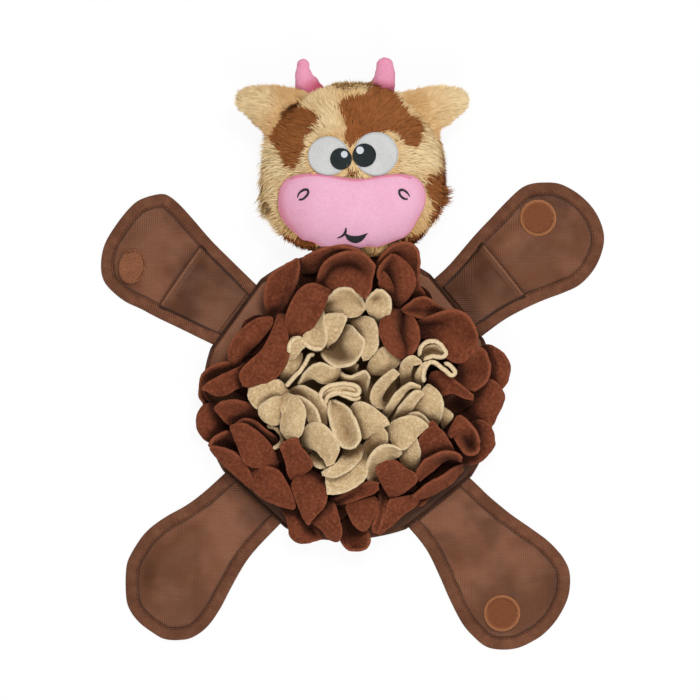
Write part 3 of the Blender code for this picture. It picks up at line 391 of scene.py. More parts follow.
def shell(name, grid, half, finish, attributes=None, normals=None, wrap=False):
    """A closed sheet round a grid of middle points, with half its thickness at each point.

    With wrap the columns go round, from a middle in the first row to an edge in the last.
    """
    rows, columns = grid.shape[:2]
    if normals is None:
        normals = grid_normals(grid)
    over = grid + normals * half[..., None]
    under = grid - normals * half[..., None]
    vertices = np.concatenate([over.reshape(-1, 3), under.reshape(-1, 3)])
    count = rows * columns
    faces = []
    for row in range(rows - 1):
        for column in range(columns if wrap else columns - 1):
            corner = row * columns + column
            beside = row * columns + (column + 1) % columns
            face = (corner, beside, beside + columns, corner + columns)
            faces.append(face)
            faces.append(tuple(index + count for index in reversed(face)))
    border = [(rows - 1) * columns + column for column in range(columns - 1, -1, -1)]
    if not wrap:
        border = [column for column in range(columns)]
        border += [row * columns + columns - 1 for row in range(1, rows)]
        border += [(rows - 1) * columns + column for column in range(columns - 2, -1, -1)]
        border += [row * columns for row in range(rows - 2, 0, -1)]
    for index, corner in enumerate(border):
        after = border[(index + 1) % len(border)]
        faces.append((after, corner, corner + count, after + count))
    doubled = {label: np.concatenate([np.ravel(values)] * 2) for label, values in (attributes or {}).items()}
    return mesh_object(name, vertices, faces, finish, doubled)


def upright(grid):
    normals = np.zeros_like(grid)
    normals[..., 2] = 1
    return normals


def rounded_half(edge_distance, thickness):
    """Half the thickness of a sheet with a rounded edge, at a distance from that edge."""
    inside = np.clip(edge_distance / (thickness * 0.38), 0, 1)
    return thickness / 2 * np.sqrt(np.maximum(1 - (1 - inside) ** 2, 0))


def spline(points, count, shares=None):
    """A smooth line through points, at equal steps along it or at shares of its length."""
    points = np.asarray(points, float)
    padded = np.vstack([2 * points[0] - points[1], points, 2 * points[-1] - points[-2]])
    dense = []
    for index in range(len(points) - 1):
        before, start, end, after = padded[index:index + 4]
        for share in np.linspace(0, 1, 24, endpoint=False):
            dense.append(0.5 * (2 * start + (end - before) * share
                                + (2 * before - 5 * start + 4 * end - after) * share ** 2
                                + (3 * start - before - 3 * end + after) * share ** 3))
    dense.append(points[-1])
    dense = np.array(dense)
    run = np.concatenate([[0], np.cumsum(np.linalg.norm(np.diff(dense, axis=0), axis=1))])
    places = run[-1] * (np.linspace(0, 1, count) if shares is None else shares)
    return np.stack([np.interp(places, run, dense[:, axis]) for axis in range(dense.shape[1])], axis=1)


def tube(points, radius, sides=6):
    """Vertices and faces of a closed round thread along points."""
    points = np.asarray(points, float)
    vertices = []
    faces = []
    for index, point in enumerate(points):
        run = points[min(index + 1, len(points) - 1)] - points[max(index - 1, 0)]
        run = run / np.linalg.norm(run)
        side = np.cross(run, (0, 0, 1))
        side = side / max(np.linalg.norm(side), 1e-9)
        up = np.cross(side, run)
        for step in range(sides):
            angle = math.tau * step / sides
            vertices.append(point + radius * (side * math.cos(angle) + up * math.sin(angle)))
    for index in range(len(points) - 1):
        for step in range(sides):
            after = (step + 1) % sides
            low = index * sides
            faces.append((low + step, low + after, low + sides + after, low + sides + step))
    faces.append(tuple(range(sides)))
    faces.append(tuple(reversed(range((len(points) - 1) * sides, len(points) * sides))))
    return vertices, faces


def stitches(name, line, finish, length=2.3 * MM, pitch=3.1 * MM, radius=0.28 * MM):
    """Stitches laid along a line, each a short thread that dips in at both ends."""
    line = np.asarray(line, float)
    run = np.concatenate([[0], np.cumsum(np.linalg.norm(np.diff(line, axis=0), axis=1))])
    vertices = []
    faces = []
    for start in np.arange(pitch / 2, run[-1] - length, pitch):
        places = start + np.linspace(0, 1, 4) * length
        points = np.stack([np.interp(places, run, line[:, axis]) for axis in range(3)], axis=1)
        points[[0, -1], 2] -= 0.3 * MM
        made, sides = tube(points, radius, 5)
        offset = len(vertices)
        vertices += made
        faces += [tuple(index + offset for index in face) for face in sides]
    return mesh_object(name, vertices, faces, finish)


def sweep(name, line, inward, section, finish, closed=False, attributes=None):
    """Carries a closed section of (inset, height) points along a line on the floor."""
    rows = []
    for point, side in zip(line, inward):
        rows.append([point + side * inset + np.array((0, 0, height)) for inset, height in section])
    grid = np.array(rows)
    count, width = grid.shape[:2]
    faces = []
    for row in range(count if closed else count - 1):
        after = (row + 1) % count
        for step in range(width):
            following = (step + 1) % width
            faces.append((row * width + step, row * width + following,
                          after * width + following, after * width + step))
    if not closed:
        faces.append(tuple(range(width)))
        faces.append(tuple(reversed(range((count - 1) * width, count * width))))
    run = np.concatenate([[0], np.cumsum(np.linalg.norm(np.diff(line, axis=0), axis=1))])
    insets = np.array([inset for inset, height in section])
    slanted = run[:, None] + 0.35 * insets[None, :]
    return mesh_object(name, grid.reshape(-1, 3), faces, finish, {"run": slanted, **(attributes or {})})


# Body disc

SEAMS = {"arm_left": 144.0, "arm_right": 39.5, "leg_left": 227.5, "leg_right": 310.0, "neck": 90.0}


def body_edge(inset=0.0, count=360):
    """The disc's outline on the floor, with its straight seams, drawn in by an inset."""
    angles = np.linspace(0, math.tau, count, endpoint=False)
    radius = np.full(count, BODY_RADIUS)
    for azimuth in SEAMS.values():
        apart = np.abs((angles - math.radians(azimuth) + math.pi) % math.tau - math.pi)
        straight = (SEAM_DISTANCE - 0.4 * MM) / np.cos(np.minimum(apart, 1.0))
        radius = np.minimum(radius, straight)
    below = np.abs((angles - math.radians(280) + math.pi) % math.tau - math.pi)
    radius = radius - inset - 2.2 * MM * np.exp(-(below / 0.3) ** 2)
    return np.stack([radius * np.cos(angles), radius * np.sin(angles), np.zeros(count)], axis=1)


def seam_nearness(x, y):
    """1 along the straight seams, falling to 0 beside them."""
    near = np.zeros(np.shape(x))
    for azimuth in SEAMS.values():
        turned = math.radians(azimuth)
        out = x * math.cos(turned) + y * math.sin(turned)
        aside = np.abs(y * math.cos(turned) - x * math.sin(turned))
        near = np.maximum(near, smooth((out - SEAM_DISTANCE + 5 * MM) / (2 * MM)) * smooth((34 * MM - aside) / (4 * MM)))
    return near


def make_body():
    edge = body_edge()
    inward = -edge / np.linalg.norm(edge, axis=1, keepdims=True)
    inward = inward * (0.5 - 0.34 * seam_nearness(edge[:, 0], edge[:, 1]))[:, None]
    high = BODY_HIGH
    section = [(0.0, high * 0.5), (0.4 * MM, high * 0.82), (1.5 * MM, high), (4 * MM, high + 0.4 * MM),
               (8 * MM, high + 0.5 * MM), (11 * MM, high + 0.2 * MM), (12.2 * MM, high - 0.2 * MM),
               (12.3 * MM, high - 0.9 * MM), (1.4 * MM, high - 1.1 * MM), (1.4 * MM, 1.1 * MM),
               (12.3 * MM, 0.9 * MM), (12 * MM, 0.1 * MM), (1.5 * MM, 0.0), (0.4 * MM, high * 0.18)]
    # painted shadow on the edge tape beside the seams where the limbs are sewn on
    painted_cloth_shade = np.repeat(0.55 * seam_nearness(edge[:, 0], edge[:, 1])[:, None], len(section), axis=1)
    binding = sweep("body_edge_tape", edge, inward, section, "edge_tape", True, {"painted_cloth_shade": painted_cloth_shade})
    settle(binding, "base", "tape", "edge_binding")

    angles = np.linspace(0, math.tau, 96, endpoint=False)
    shares = 1 - (1 - np.linspace(0, 1, 34)) ** 1.5
    for name, slot, nodes, top in (("body_front_cloth", "nylon", ("top_panel", "filling_pad"), True),
                                   ("body_back_cloth", "nylon", ("back_panel",), False)):
        reach = np.linalg.norm(body_edge(1.0 * MM, len(angles)), axis=1)
        radius = shares[:, None] * reach[None, :]
        x = radius * np.cos(angles)
        y = radius * np.sin(angles)
        if top:
            rim = high - 1.75 * MM
            rise = PANEL_TOP - rim - NYLON
            ripple = np.vectorize(lambda a, b: noise.noise(Vector((a * 60, b * 60, 3))))(x, y)
            tuck = smooth((shares - 0.975) / 0.025)[:, None]
            z = rim + rise * (1 - np.minimum(shares / 0.87, 1)[:, None] ** 2) + ripple * 0.5 * MM
            z = z + (1 - tuck) * 2.0 * MM * smooth((shares - 0.6) / 0.3)[:, None]
            half = np.full(x.shape, NYLON / 2)
        else:
            ripple = np.vectorize(lambda a, b: noise.noise(Vector((a * 45, b * 45, 9))))(x, y)
            tuck = smooth((shares - 0.82) / 0.06)[:, None]
            z = 0.55 * MM + np.maximum(ripple, 0) * 0.8 * MM * (1 - tuck) + tuck * 1.1 * MM
            half = np.full(x.shape, NYLON / 2)
        grid = np.stack([x, y, np.broadcast_to(z, x.shape)], axis=2)
        # painted shade along the rim beside the seams and over the lower half, where the petals' shadow falls; painted
        # light on the upper side's rim
        painted_cloth_shade = smooth((shares - 0.97) / 0.02)[:, None] * (0.2 + 0.5 * seam_nearness(x * 1.04, y * 1.04))
        painted_cloth_shade = np.maximum(painted_cloth_shade, 0.72 * smooth((-y - 15 * MM) / (45 * MM)))
        lit = smooth((y - 5 * MM) / (35 * MM)) * smooth((shares - 0.8) / 0.06)[:, None]
        turned = math.radians(40)
        cloth = {"cloth_along": x * math.cos(turned) + y * math.sin(turned),
                 "cloth_across": y * math.cos(turned) - x * math.sin(turned), "painted_cloth_shade": painted_cloth_shade, "lit": lit}
        made = shell(name, grid, half, "nylon", cloth, upright(grid), True)
        settle(made, "base", slot, *nodes)


# Limbs: outlines in pixels of the photograph, from one end of the seam round the paw to the other

LIMB_OUTLINES = {
    "arm_left": [(256.5, 285), (230, 259), (211, 240), (192, 218), (179, 204), (169, 196), (161, 194),
                 (147, 197), (135, 203), (122, 217), (109, 236), (103, 250), (101, 267), (104, 281),
                 (113, 292), (126, 302), (141, 309), (158, 318), (179, 328), (203.5, 340), (214, 345)],
    "arm_right": [(482, 336), (504, 320), (524, 309), (544, 300), (564, 292.5), (580, 284.5), (593.5, 270),
                  (601.5, 253), (604, 237), (600, 221), (591, 206), (577, 193), (560, 184), (544, 182.5),
                  (530.5, 184), (520, 189), (506, 202), (490, 219), (474, 236), (450, 264), (434, 279)],
    "leg_left": [(225, 473), (204, 492), (186.5, 505), (167, 516), (152, 526.5), (141, 538), (129, 558),
                 (126, 572), (126, 594), (129, 608), (139, 622), (155, 634), (165, 639), (178, 640),
                 (192, 637.5), (207, 627), (220, 609), (231, 588), (244, 565), (257, 548), (281, 523)],
    "leg_right": [(410, 529), (419.5, 540), (429, 554), (439.5, 576), (450, 600), (462, 623), (473, 636),
                  (486, 646.5), (501, 649.5), (517, 648), (531, 642), (544, 633.5), (557, 619), (567, 600),
                  (570, 584), (569, 570), (564, 559), (558, 551), (547, 540), (530, 527.5), (510, 513.5),
                  (490, 497), (479, 486.5), (468, 476)],
}
LIMB_TAPE = 9.0 * MM
POCKET_MOUTHS = {"arm_left": ((201.6, 245.7), (159.5, 306.3)), "arm_right": ((483, 244), (529, 301))}
# spots of painted highlight on the pockets
POCKET_HIGHLIGHT_SPOTS = {"arm_left": (212, 317), "arm_right": (488, 309)}
LIMB_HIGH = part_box("leg_right_binding")[1].z


def seam_frame(name):
    """The middle of a limb's seam on the floor, and unit vectors out from it and along it."""
    azimuth = math.radians(SEAMS[name])
    out = np.array((math.cos(azimuth), math.sin(azimuth), 0))
    along = np.array((-math.sin(azimuth), math.cos(azimuth), 0))
    return out * (SEAM_DISTANCE - 1.8 * MM), out, along


def limb_line(name, count=150):
    """A limb's outline on the floor, its two ends drawn to the seam line."""
    foot, out, along = seam_frame(name)
    line = spline([spot(*pixel) for pixel in LIMB_OUTLINES[name]], count)
    for index in (0, -1):
        beyond = np.dot(line[index] - foot, out)
        line[index] = line[index] - out * beyond
    distance = (line - foot) @ out
    held = np.maximum(distance, 0)
    line = line + out * (held - distance)[:, None]
    if np.dot(line[0] - foot, along) > 0:
        line = line[::-1]
    return line


def inward_sides(line):
    run = np.gradient(line, axis=0)
    run = run / np.maximum(np.linalg.norm(run, axis=1, keepdims=True), 1e-9)
    sides = np.stack([-run[:, 1], run[:, 0], np.zeros(len(line))], axis=1)
    kernel = np.array((1, 2, 3, 2, 1)) / 9
    padded = np.vstack([sides[:1]] * 2 + [sides] + [sides[-1:]] * 2)
    sides = np.stack([np.convolve(padded[:, axis], kernel, "valid") for axis in range(3)], axis=1)
    return sides / np.linalg.norm(sides, axis=1, keepdims=True)


def line_distance(points, line):
    """Distance on the floor from each point to a line."""
    flat = points.reshape(-1, 3)[:, :2]
    starts = line[:-1, :2]
    runs = np.diff(line[:, :2], axis=0)
    best = np.full(len(flat), 1.0)
    for start, run in zip(starts, runs):
        size = max(np.dot(run, run), 1e-12)
        share = np.clip((flat - start) @ run / size, 0, 1)
        best = np.minimum(best, np.linalg.norm(flat - start - share[:, None] * run, axis=1))
    return best.reshape(points.shape[:-1])


def limb_grid(line, inset, rows=76, columns=41):
    """Points across a limb, from its seam to its paw's tip, inside the outline drawn in."""
    sides = inward_sides(line)
    drawn = line + sides * inset
    tip = len(drawn) // 2
    reach = 1 - (1 - np.linspace(0, 1, rows)) ** 1.35
    right = spline(drawn[:tip + 1], rows, reach)
    left = spline(drawn[tip:][::-1], rows, reach)
    across = np.linspace(0, 1, columns)
    across = across * 0.5 + (1 - np.cos(across * math.pi)) * 0.25
    return right[:, None, :] * (1 - across)[None, :, None] + left[:, None, :] * across[None, :, None]


def folds(points, seed, along, size=22 * MM, stretch=2.4):
    """Soft wrinkles, longer along one direction than across it."""
    side = np.array((-along[1], along[0], 0))
    first = points @ along / (size * stretch)
    second = points @ side / size
    flat = np.stack([first.ravel(), second.ravel()], axis=1)
    values = [noise.noise(Vector((a, b, seed))) + 0.5 * noise.noise(Vector((a * 2.1, b * 2.3, seed + 7)))
              for a, b in flat]
    return np.array(values).reshape(first.shape)


def limb_rise(points, line, beyond, seed, out):
    """How freely the cloth lies, from 0 at its edge tape to 1, and how far it stands up there."""
    free = smooth((line_distance(points, line) - LIMB_TAPE) / (16 * MM))
    puff = 0.25 + 0.75 * smooth(beyond / (62 * MM))
    wrinkles = folds(points, seed, out)
    small = folds(points, seed + 2, np.array((out[1], -out[0], 0)), 9 * MM, 2.0)
    return free, free * (4.2 * MM * puff + 2.0 * MM * wrinkles + 0.45 * MM * small)


def make_limb(name, seed):
    foot, out, along = seam_frame(name)
    line = limb_line(name)
    sides = inward_sides(line)
    sides[0] = along if np.dot(sides[0], along) > 0 else -along
    sides[-1] = along if np.dot(sides[-1], along) > 0 else -along
    high = LIMB_HIGH
    section = [(LIMB_TAPE, high - 0.75 * MM), (LIMB_TAPE - 0.4 * MM, high - 0.15 * MM),
               (6.8 * MM, high + 0.15 * MM), (4.0 * MM, high + 0.25 * MM), (1.6 * MM, high),
               (0.4 * MM, high * 0.82), (0.0, high * 0.5), (0.4 * MM, high * 0.18), (1.6 * MM, 0.1 * MM),
               (LIMB_TAPE - 1 * MM, 0.0), (LIMB_TAPE, 0.3 * MM), (LIMB_TAPE, 0.9 * MM),
               (1.7 * MM, 0.9 * MM), (1.7 * MM, high - 0.85 * MM)]
    binding = sweep(f"{name}_edge_tape", line, sides, section, "tape")
    blend_limb(binding, name)
    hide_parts(f"{name}_binding")

    grid = limb_grid(line, 2.2 * MM)
    distance = line_distance(grid, line)
    beyond = (grid - foot) @ out
    free, raised = limb_rise(grid, line, beyond, seed, out)
    top = high - 1.15 * MM + raised
    low = 1.15 * MM - 0.5 * MM * free
    middle = grid.copy()
    middle[..., 2] = (top + low) / 2
    wobble = folds(grid, seed + 9, out, 7 * MM, 1.0) * 0.35 * MM
    # painted shade: a dark line along the edge tape and the seam, darker towards the paw's end, and a shadow beside a
    # pocket's mouth
    painted_cloth_shade = 1 - smooth((distance + wobble - LIMB_TAPE - 0.1 * MM) / (1.3 * MM))
    painted_cloth_shade = np.maximum(painted_cloth_shade, 1 - smooth((beyond - 1.5 * MM) / (1.3 * MM)))
    painted_cloth_shade = np.maximum(painted_cloth_shade, 0.2 * smooth((beyond - 50 * MM) / (40 * MM)))
    if name in POCKET_MOUTHS:
        mouth = np.linspace(*(spot(*pixel) for pixel in POCKET_MOUTHS[name]), 6)
        painted_cloth_shade = np.maximum(painted_cloth_shade, 0.5 - 0.5 * smooth((line_distance(grid, mouth) - 0.4 * MM) / (1.8 * MM)))
    cloth = {"cloth_along": grid[..., 0], "cloth_across": grid[..., 1], "painted_cloth_shade": painted_cloth_shade * 0.8}
    panel = shell(f"{name}_cloth", middle, (top - low) / 2, "nylon", cloth, upright(middle))
    blend_limb(panel, name)
    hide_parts(f"{name}_panel")

    thread_line = line + sides * (LIMB_TAPE - 1.3 * MM)
    thread_line[:, 2] = high + 0.12 * MM
    threads = stitches(f"{name}_edge_stitches", thread_line[3:-3], "brown_thread")
    blend_limb(threads, name)

    def top_height(points):
        """The height of the limb's cloth over places on the floor."""
        points = np.atleast_2d(points)
        return high - 1.15 * MM + limb_rise(points, line, (points - foot) @ out, seed, out)[1]
    return line, top_height


def blend_limb(piece, name):
    foot, out, along = seam_frame(name)
    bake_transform(piece)


def make_pocket(name, line, top_height, seed):
    """The second layer of cloth on an arm, open towards the paw, with its stitched hem."""
    foot, out, along = seam_frame(name)
    start, end = (spot(*pixel) for pixel in POCKET_MOUTHS[name])
    rows, columns = 40, 41
    grid = limb_grid(line, LIMB_TAPE - 1.6 * MM, 90, columns)
    mouth_along = (end - start) / np.linalg.norm(end - start)
    mouth_out = np.cross(mouth_along, (0, 0, 1))
    if np.dot(mouth_out, out) < 0:
        mouth_out = -mouth_out
    pieces = []
    for column in range(columns):
        strip = grid[:, column]
        beyond = (strip - start) @ mouth_out
        near_seam = (strip - foot) @ out
        last = int(np.argmax(beyond > 0))
        share = beyond[last - 1] / (beyond[last - 1] - beyond[last])
        finish = strip[last - 1] + (strip[last] - strip[last - 1]) * share
        first = int(np.argmax(near_seam > 1.6 * MM))
        pieces.append(spline(np.vstack([strip[first:last:5], finish]), rows))
    grid = np.stack(pieces, axis=1)
    open_share = np.linspace(0, 1, rows)[:, None]
    across = np.linspace(-1, 1, columns)[None, :]
    arch = 1 - across ** 2
    wrinkles = folds(grid, seed, along, 30 * MM, 1.6)
    base = top_height(grid.reshape(-1, 3)).reshape(rows, columns)
    lift = 0.55 * MM + arch * (3.4 * MM * smooth(open_share * 1.3) + 2.4 * MM * np.abs(wrinkles) * open_share)
    hem = smooth((open_share - 0.86) / 0.03)
    grid[..., 2] = base + lift + hem * 0.6 * MM * arch
    half = np.full(grid.shape[:2], 0.45 * MM) + hem * 0.35 * MM
    away = line_distance(grid, line)
    # painted shade along the edge tape and the seam
    painted_cloth_shade = 1 - smooth((away - LIMB_TAPE - 0.1 * MM) / (1.1 * MM))
    painted_cloth_shade = np.maximum(painted_cloth_shade, 0.8 - 0.8 * smooth(((grid - foot) @ out - 2.0 * MM) / (2.2 * MM)))
    # painted light along the hem and its edge, and a painted highlight round one spot
    lit = (0.25 * smooth((open_share - 0.84) / 0.04) + 0.75 * smooth((open_share - 0.955) / 0.02)) * (1 - painted_cloth_shade)
    from_highlight_spot = np.linalg.norm((grid - spot(*POCKET_HIGHLIGHT_SPOTS[name]))[..., :2], axis=2)
    lit = np.maximum(lit, 0.7 * np.exp(-(from_highlight_spot / (12 * MM)) ** 2) * (1 - painted_cloth_shade))
    cloth = {"cloth_along": grid[..., 0], "cloth_across": grid[..., 1], "painted_cloth_shade": painted_cloth_shade * 0.8, "lit": lit}
    pocket = shell(f"{name}_pocket_cloth", grid, half, "pocket_nylon", cloth)
    blend_limb(pocket, name)
    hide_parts(f"{name}_pocket")
    for number, share in ((1, 0.985), (2, 0.86)):
        row = int(round(share * (rows - 1)))
        raised = grid[row] + np.array((0, 0, 1)) * (half[row][:, None] + 0.12 * MM)
        threads = stitches(f"{name}_hem_stitches_{number}", spline(raised[2:-2], 60),
                           "pale_stitch" if number == 1 else "brown_thread",
                           1.9 * MM, 2.6 * MM, 0.24 * MM)
        blend_limb(threads, name)


def disc_grid(centre, radii, turned, rows=10, columns=36):
    """Points of an oval, from its centre out."""
    shares = np.sin(np.linspace(0, 1, rows) * math.pi / 2)
    angles = np.linspace(0, math.tau, columns, endpoint=False)
    across = shares[:, None] * radii[0] * np.cos(angles)[None, :]
    along = shares[:, None] * radii[1] * np.sin(angles)[None, :]
    x = centre[0] + across * math.cos(turned) - along * math.sin(turned)
    y = centre[1] + across * math.sin(turned) + along * math.cos(turned)
    return np.stack([x, y, np.zeros_like(x)], axis=2), shares, across, along


def make_fastener(name, body, pixel, radii, turned, top_height, hooked, node):
    """A round of hook or loop tape, sewn on near its edge."""
    centre = spot(*pixel, 5 * MM)
    grid, shares, across, along = disc_grid(centre, radii, turned)
    flat = grid.reshape(-1, 3)
    under = top_height(flat).reshape(grid.shape[:2])
    centre_height = float(under[0, 0])
    under = np.maximum(under, centre_height - 0.6 * MM)
    rim = smooth((shares - 0.8) / 0.12)[:, None]
    welt = np.broadcast_to(0.75 * smooth((shares - 0.84) / 0.06)[:, None], grid.shape[:2])
    thick = (1.2 * MM if hooked else 1.7 * MM) * np.sqrt(np.maximum(1 - shares ** 14, 0))[:, None]
    fuzz = 0 if hooked else 0.5 * MM * folds(grid, 5, np.array((1, 0, 0)), 2.2 * MM, 1.0)
    top = under + 0.1 * MM + thick + rim * (0.35 * MM if hooked else -0.1 * MM) * (1 - shares ** 14)[:, None]
    top = top + fuzz
    grid[..., 2] = (top + under) / 2 + 0.1 * MM
    made = shell(name, grid, np.maximum(top - under, 0) / 2, "hook" if hooked else "loop",
                 {"cloth_along": along, "cloth_across": across, "welt": welt}, upright(grid), True)
    settle(made, body, "hook" if hooked else "loop", node)
    angles = np.linspace(0, math.tau, 120)
    ring = []
    for angle in angles:
        share = 0.8 if hooked else 0.86
        x = radii[0] * share * math.cos(angle)
        y = radii[1] * share * math.sin(angle)
        ring.append((centre[0] + x * math.cos(turned) - y * math.sin(turned),
                     centre[1] + x * math.sin(turned) + y * math.cos(turned), 0))
    ring = np.array(ring)
    ring[:, 2] = np.interp(np.arange(120), np.arange(120), top_height(ring)) + thick[0, 0] + 0.25 * MM
    threads = stitches(f"{name}_stitches", ring, "brown_thread", 1.9 * MM, 2.4 * MM)
    settle(threads, body, "hook" if hooked else "loop")


def make_limbs():
    lines = {}
    tops = {}
    for seed, name in enumerate(LIMB_OUTLINES):
        lines[name], tops[name] = make_limb(name, 3.1 + seed * 5.7)
    make_pocket("arm_left", lines["arm_left"], tops["arm_left"], 4.4)
    make_pocket("arm_right", lines["arm_right"], tops["arm_right"], 8.2)
    make_fastener("arm_left_loop_round", "arm_left", (132.3, 266.5), (9.8 * MM, 12.6 * MM), math.radians(-12),
                  tops["arm_left"], False, "arm_left_loop_disc")
    make_fastener("arm_right_hook_round", "arm_right", (538, 218), (13.2 * MM, 13.2 * MM), 0,
                  tops["arm_right"], True, "arm_right_hook_disc")
    make_fastener("leg_right_hook_round", "leg_right", (502, 613), (13.2 * MM, 13.2 * MM), 0,
                  tops["leg_right"], True, "leg_right_hook_disc")
    make_back_fastener()


def make_back_fastener():
    """The loop round on the back of the left leg."""
    low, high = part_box("leg_left_loop_disc")
    centre = (low + high) / 2
    radius = (high.x - low.x) / 2
    grid, shares, across, along = disc_grid(centre, (radius, radius), 0)
    half = (high.z - low.z) / 2 * np.sqrt(np.maximum(1 - shares ** 10, 0))[:, None] * np.ones(grid.shape[:2])
    grid[..., 2] = centre.z
    made = shell("leg_left_loop_round", grid, half, "loop", {"cloth_along": along, "cloth_across": across},
                 upright(grid), True)
    settle(made, "leg_left", "loop", "leg_left_loop_disc")


# Petals: their edges in pixels of the photograph, each point with its height in millimetres

def petal_floor(point):
    """The height of the disc's cloth under a place."""
    distance = math.hypot(point[0], point[1])
    share = min(distance / (BODY_RADIUS * 0.87), 1)
    if distance > BODY_RADIUS * 0.88:
        return BODY_HIGH + 0.6 * MM
    return BODY_HIGH - 1 * MM + (PANEL_TOP - BODY_HIGH + 1 * MM) * (1 - share ** 2)


def places_of(line):
    return np.array([spot(column, row, height * MM) for column, row, height in line])


def fleece_sheet(name, grid, edge, finish, seed, wave, thick=FLEECE, curl=0.0, free=None):
    """A closed fleece sheet with rounded edges, paler partly by their fuzz and partly by a painted highlight, and soft
    waves.
    """
    normals = grid_normals(grid)
    flat = grid.reshape(-1, 3) * 62
    shift = np.array([noise.noise(Vector((*point[:2], point[2] + seed * 3.7))) for point in flat])
    fine = np.array([noise.noise(Vector(point * 3.1) + Vector((seed, 0, 0))) for point in flat])
    lift = (shift * wave + fine * 0.28).reshape(edge.shape) * MM
    bend = curl * np.maximum(0.35 + shift.reshape(edge.shape) * 1.6, -0.25) * (1 - smooth((edge if free is None else free) / (6.5 * MM)))
    ragged = np.array([noise.noise_vector(Vector(point * 4.2) + Vector((0, 0, seed * 2.3))) for point in flat])
    grid = grid + normals * lift[..., None] + ragged.reshape(grid.shape) * 0.45 * MM
    grid[..., 2] += bend * MM
    # paler cut edges: partly the edge's fuzz, partly a painted highlight
    rim = np.clip(1 - edge / (2.6 * MM), 0, 1) ** 1.3
    return shell(name, grid, rounded_half(edge, thick), finish, {"rim": rim}, normals)


class Petal:
    """A petal whose face is spanned between its left and right edge, both from its root to its tip.

    rise lifts the middle between the edges, in millimetres: positive for a dome, negative for a cup.
    between gives further lines between the edges instead. The root bends down under the face.
    """

    def __init__(self, left, right, rise=3.0, between=None, wave=1.3, curl=3.0):
        self.left, self.right, self.rise, self.between, self.wave = left, right, rise, between, wave
        self.curl = curl

    def lines(self, rows_at):
        left = spline(places_of(self.left), len(rows_at), rows_at)
        right = spline(places_of(self.right), len(rows_at), rows_at)
        if self.between:
            inner = [spline(places_of(line), len(rows_at), rows_at) for line in self.between]
            return [left, *inner, right]
        middle = (left + right) / 2
        middle[:, 2] += self.rise * MM * np.minimum(1, 3.2 * (1 - rows_at)) ** 0.7 * np.minimum(1, 0.5 + rows_at)
        middle[:, 2] -= 1.0 * MM * np.minimum(1, 3.2 * (1 - rows_at))
        return [left, middle, right]

    def make(self, name, finish, seed):
        rows_at = 1 - (1 - np.linspace(0, 1, 19)) ** 1.7
        across_at = (np.sin(np.linspace(-1, 1, 17) * math.pi / 2) + 1) / 2
        stacked = np.stack(self.lines(rows_at), axis=1)
        face = np.stack([spline(row, len(across_at), across_at) for row in stacked])
        step = np.linalg.norm(np.diff(face, axis=1), axis=2)
        from_left = np.concatenate([np.zeros((len(face), 1)), np.cumsum(step, axis=1)], axis=1)
        from_right = from_left[:, -1:] - from_left
        step = np.linalg.norm(np.diff(face, axis=0), axis=2)
        from_root = np.concatenate([np.zeros((1, face.shape[1])), np.cumsum(step, axis=0)])
        from_tip = from_root[-1:] - from_root
        edge = np.minimum(np.minimum(from_left, from_right), from_tip)

        root = face[0]
        outward = face[0] - face[3]
        outward = outward / np.maximum(np.linalg.norm(outward, axis=1, keepdims=True), 1e-9)
        middle = root.mean(axis=0)
        level = outward.mean(axis=0) * np.array((1, 1, 0))
        level = level / max(np.linalg.norm(level), 1e-9)
        foot = middle + (root - middle) * 0.72 - level * 5.5 * MM
        foot[:, 2] = [min(petal_floor(point) + 0.2 * MM, height - 0.5 * MM)
                      for point, height in zip(foot, root[:, 2])]
        turn = root + outward * 2.6 * MM
        turn[:, 2] -= 2.5 * MM
        stem = []
        for share in np.linspace(0, 1, 8)[:0:-1]:
            stem.append(root * (1 - share) ** 2 + turn * 2 * share * (1 - share) + foot * share ** 2)
        grid = np.concatenate([np.array(stem), face])
        edge = np.concatenate([np.repeat(edge[:1], len(stem), axis=0), edge])
        free = np.concatenate([np.full((len(stem), grid.shape[1]), 1.0), edge[len(stem):]])
        free = np.maximum(free, (1 - np.repeat(np.concatenate([np.zeros(len(stem)), rows_at]), grid.shape[1])
                                 .reshape(free.shape)) * 5 * MM)
        made = fleece_sheet(name, grid, edge, finish, seed, self.wave, curl=self.curl, free=free)
        centre = grid[:, grid.shape[1] // 2]
        return made, float(np.linalg.norm(np.diff(centre, axis=0), axis=1).sum())


class Frill:
    """A petal on edge: its top edge follows pixels at a height, its foot is drawn in under it."""

    def __init__(self, path, height, lean=(0, 0), gather=0.8, drop=2.0):
        self.path, self.height, self.lean, self.gather, self.drop = path, height, lean, gather, drop

    def make(self, name, finish, seed):
        count = 34
        line = spline(self.path, count)
        share = np.linspace(-1, 1, count)
        heights = self.height - self.drop * np.abs(share) ** 3
        top = np.array([spot(*point, height * MM) for point, height in zip(line, heights)])
        middle = top.mean(axis=0)
        shift = np.array((self.lean[0] * PIXEL, -self.lean[1] * PIXEL, 0))
        foot = middle + (top - middle) * self.gather + shift
        foot[:, 2] = [petal_floor(point) + 0.2 * MM for point in foot]
        down = np.array((0, 0.012, 0.035, 0.07, 0.12, 0.2, 0.3, 0.42, 0.56, 0.7, 0.85, 1))
        drift = np.sin(down * math.pi)[:, None, None] * shift * -0.25
        grid = top[None] * (1 - down)[:, None, None] + foot[None] * down[:, None, None] + drift
        depth = np.linalg.norm(top - foot, axis=1)
        run = np.concatenate([[0], np.cumsum(np.linalg.norm(np.diff(top, axis=0), axis=1))])
        from_end = np.minimum(run, run[-1] - run)
        edge = np.minimum(down[:, None] * depth[None, :], from_end[None, :] + 0 * down[:, None])
        made = fleece_sheet(name, grid, edge, finish, seed, 0.4, FLEECE * 1.25)
        return made, float(run[-1])


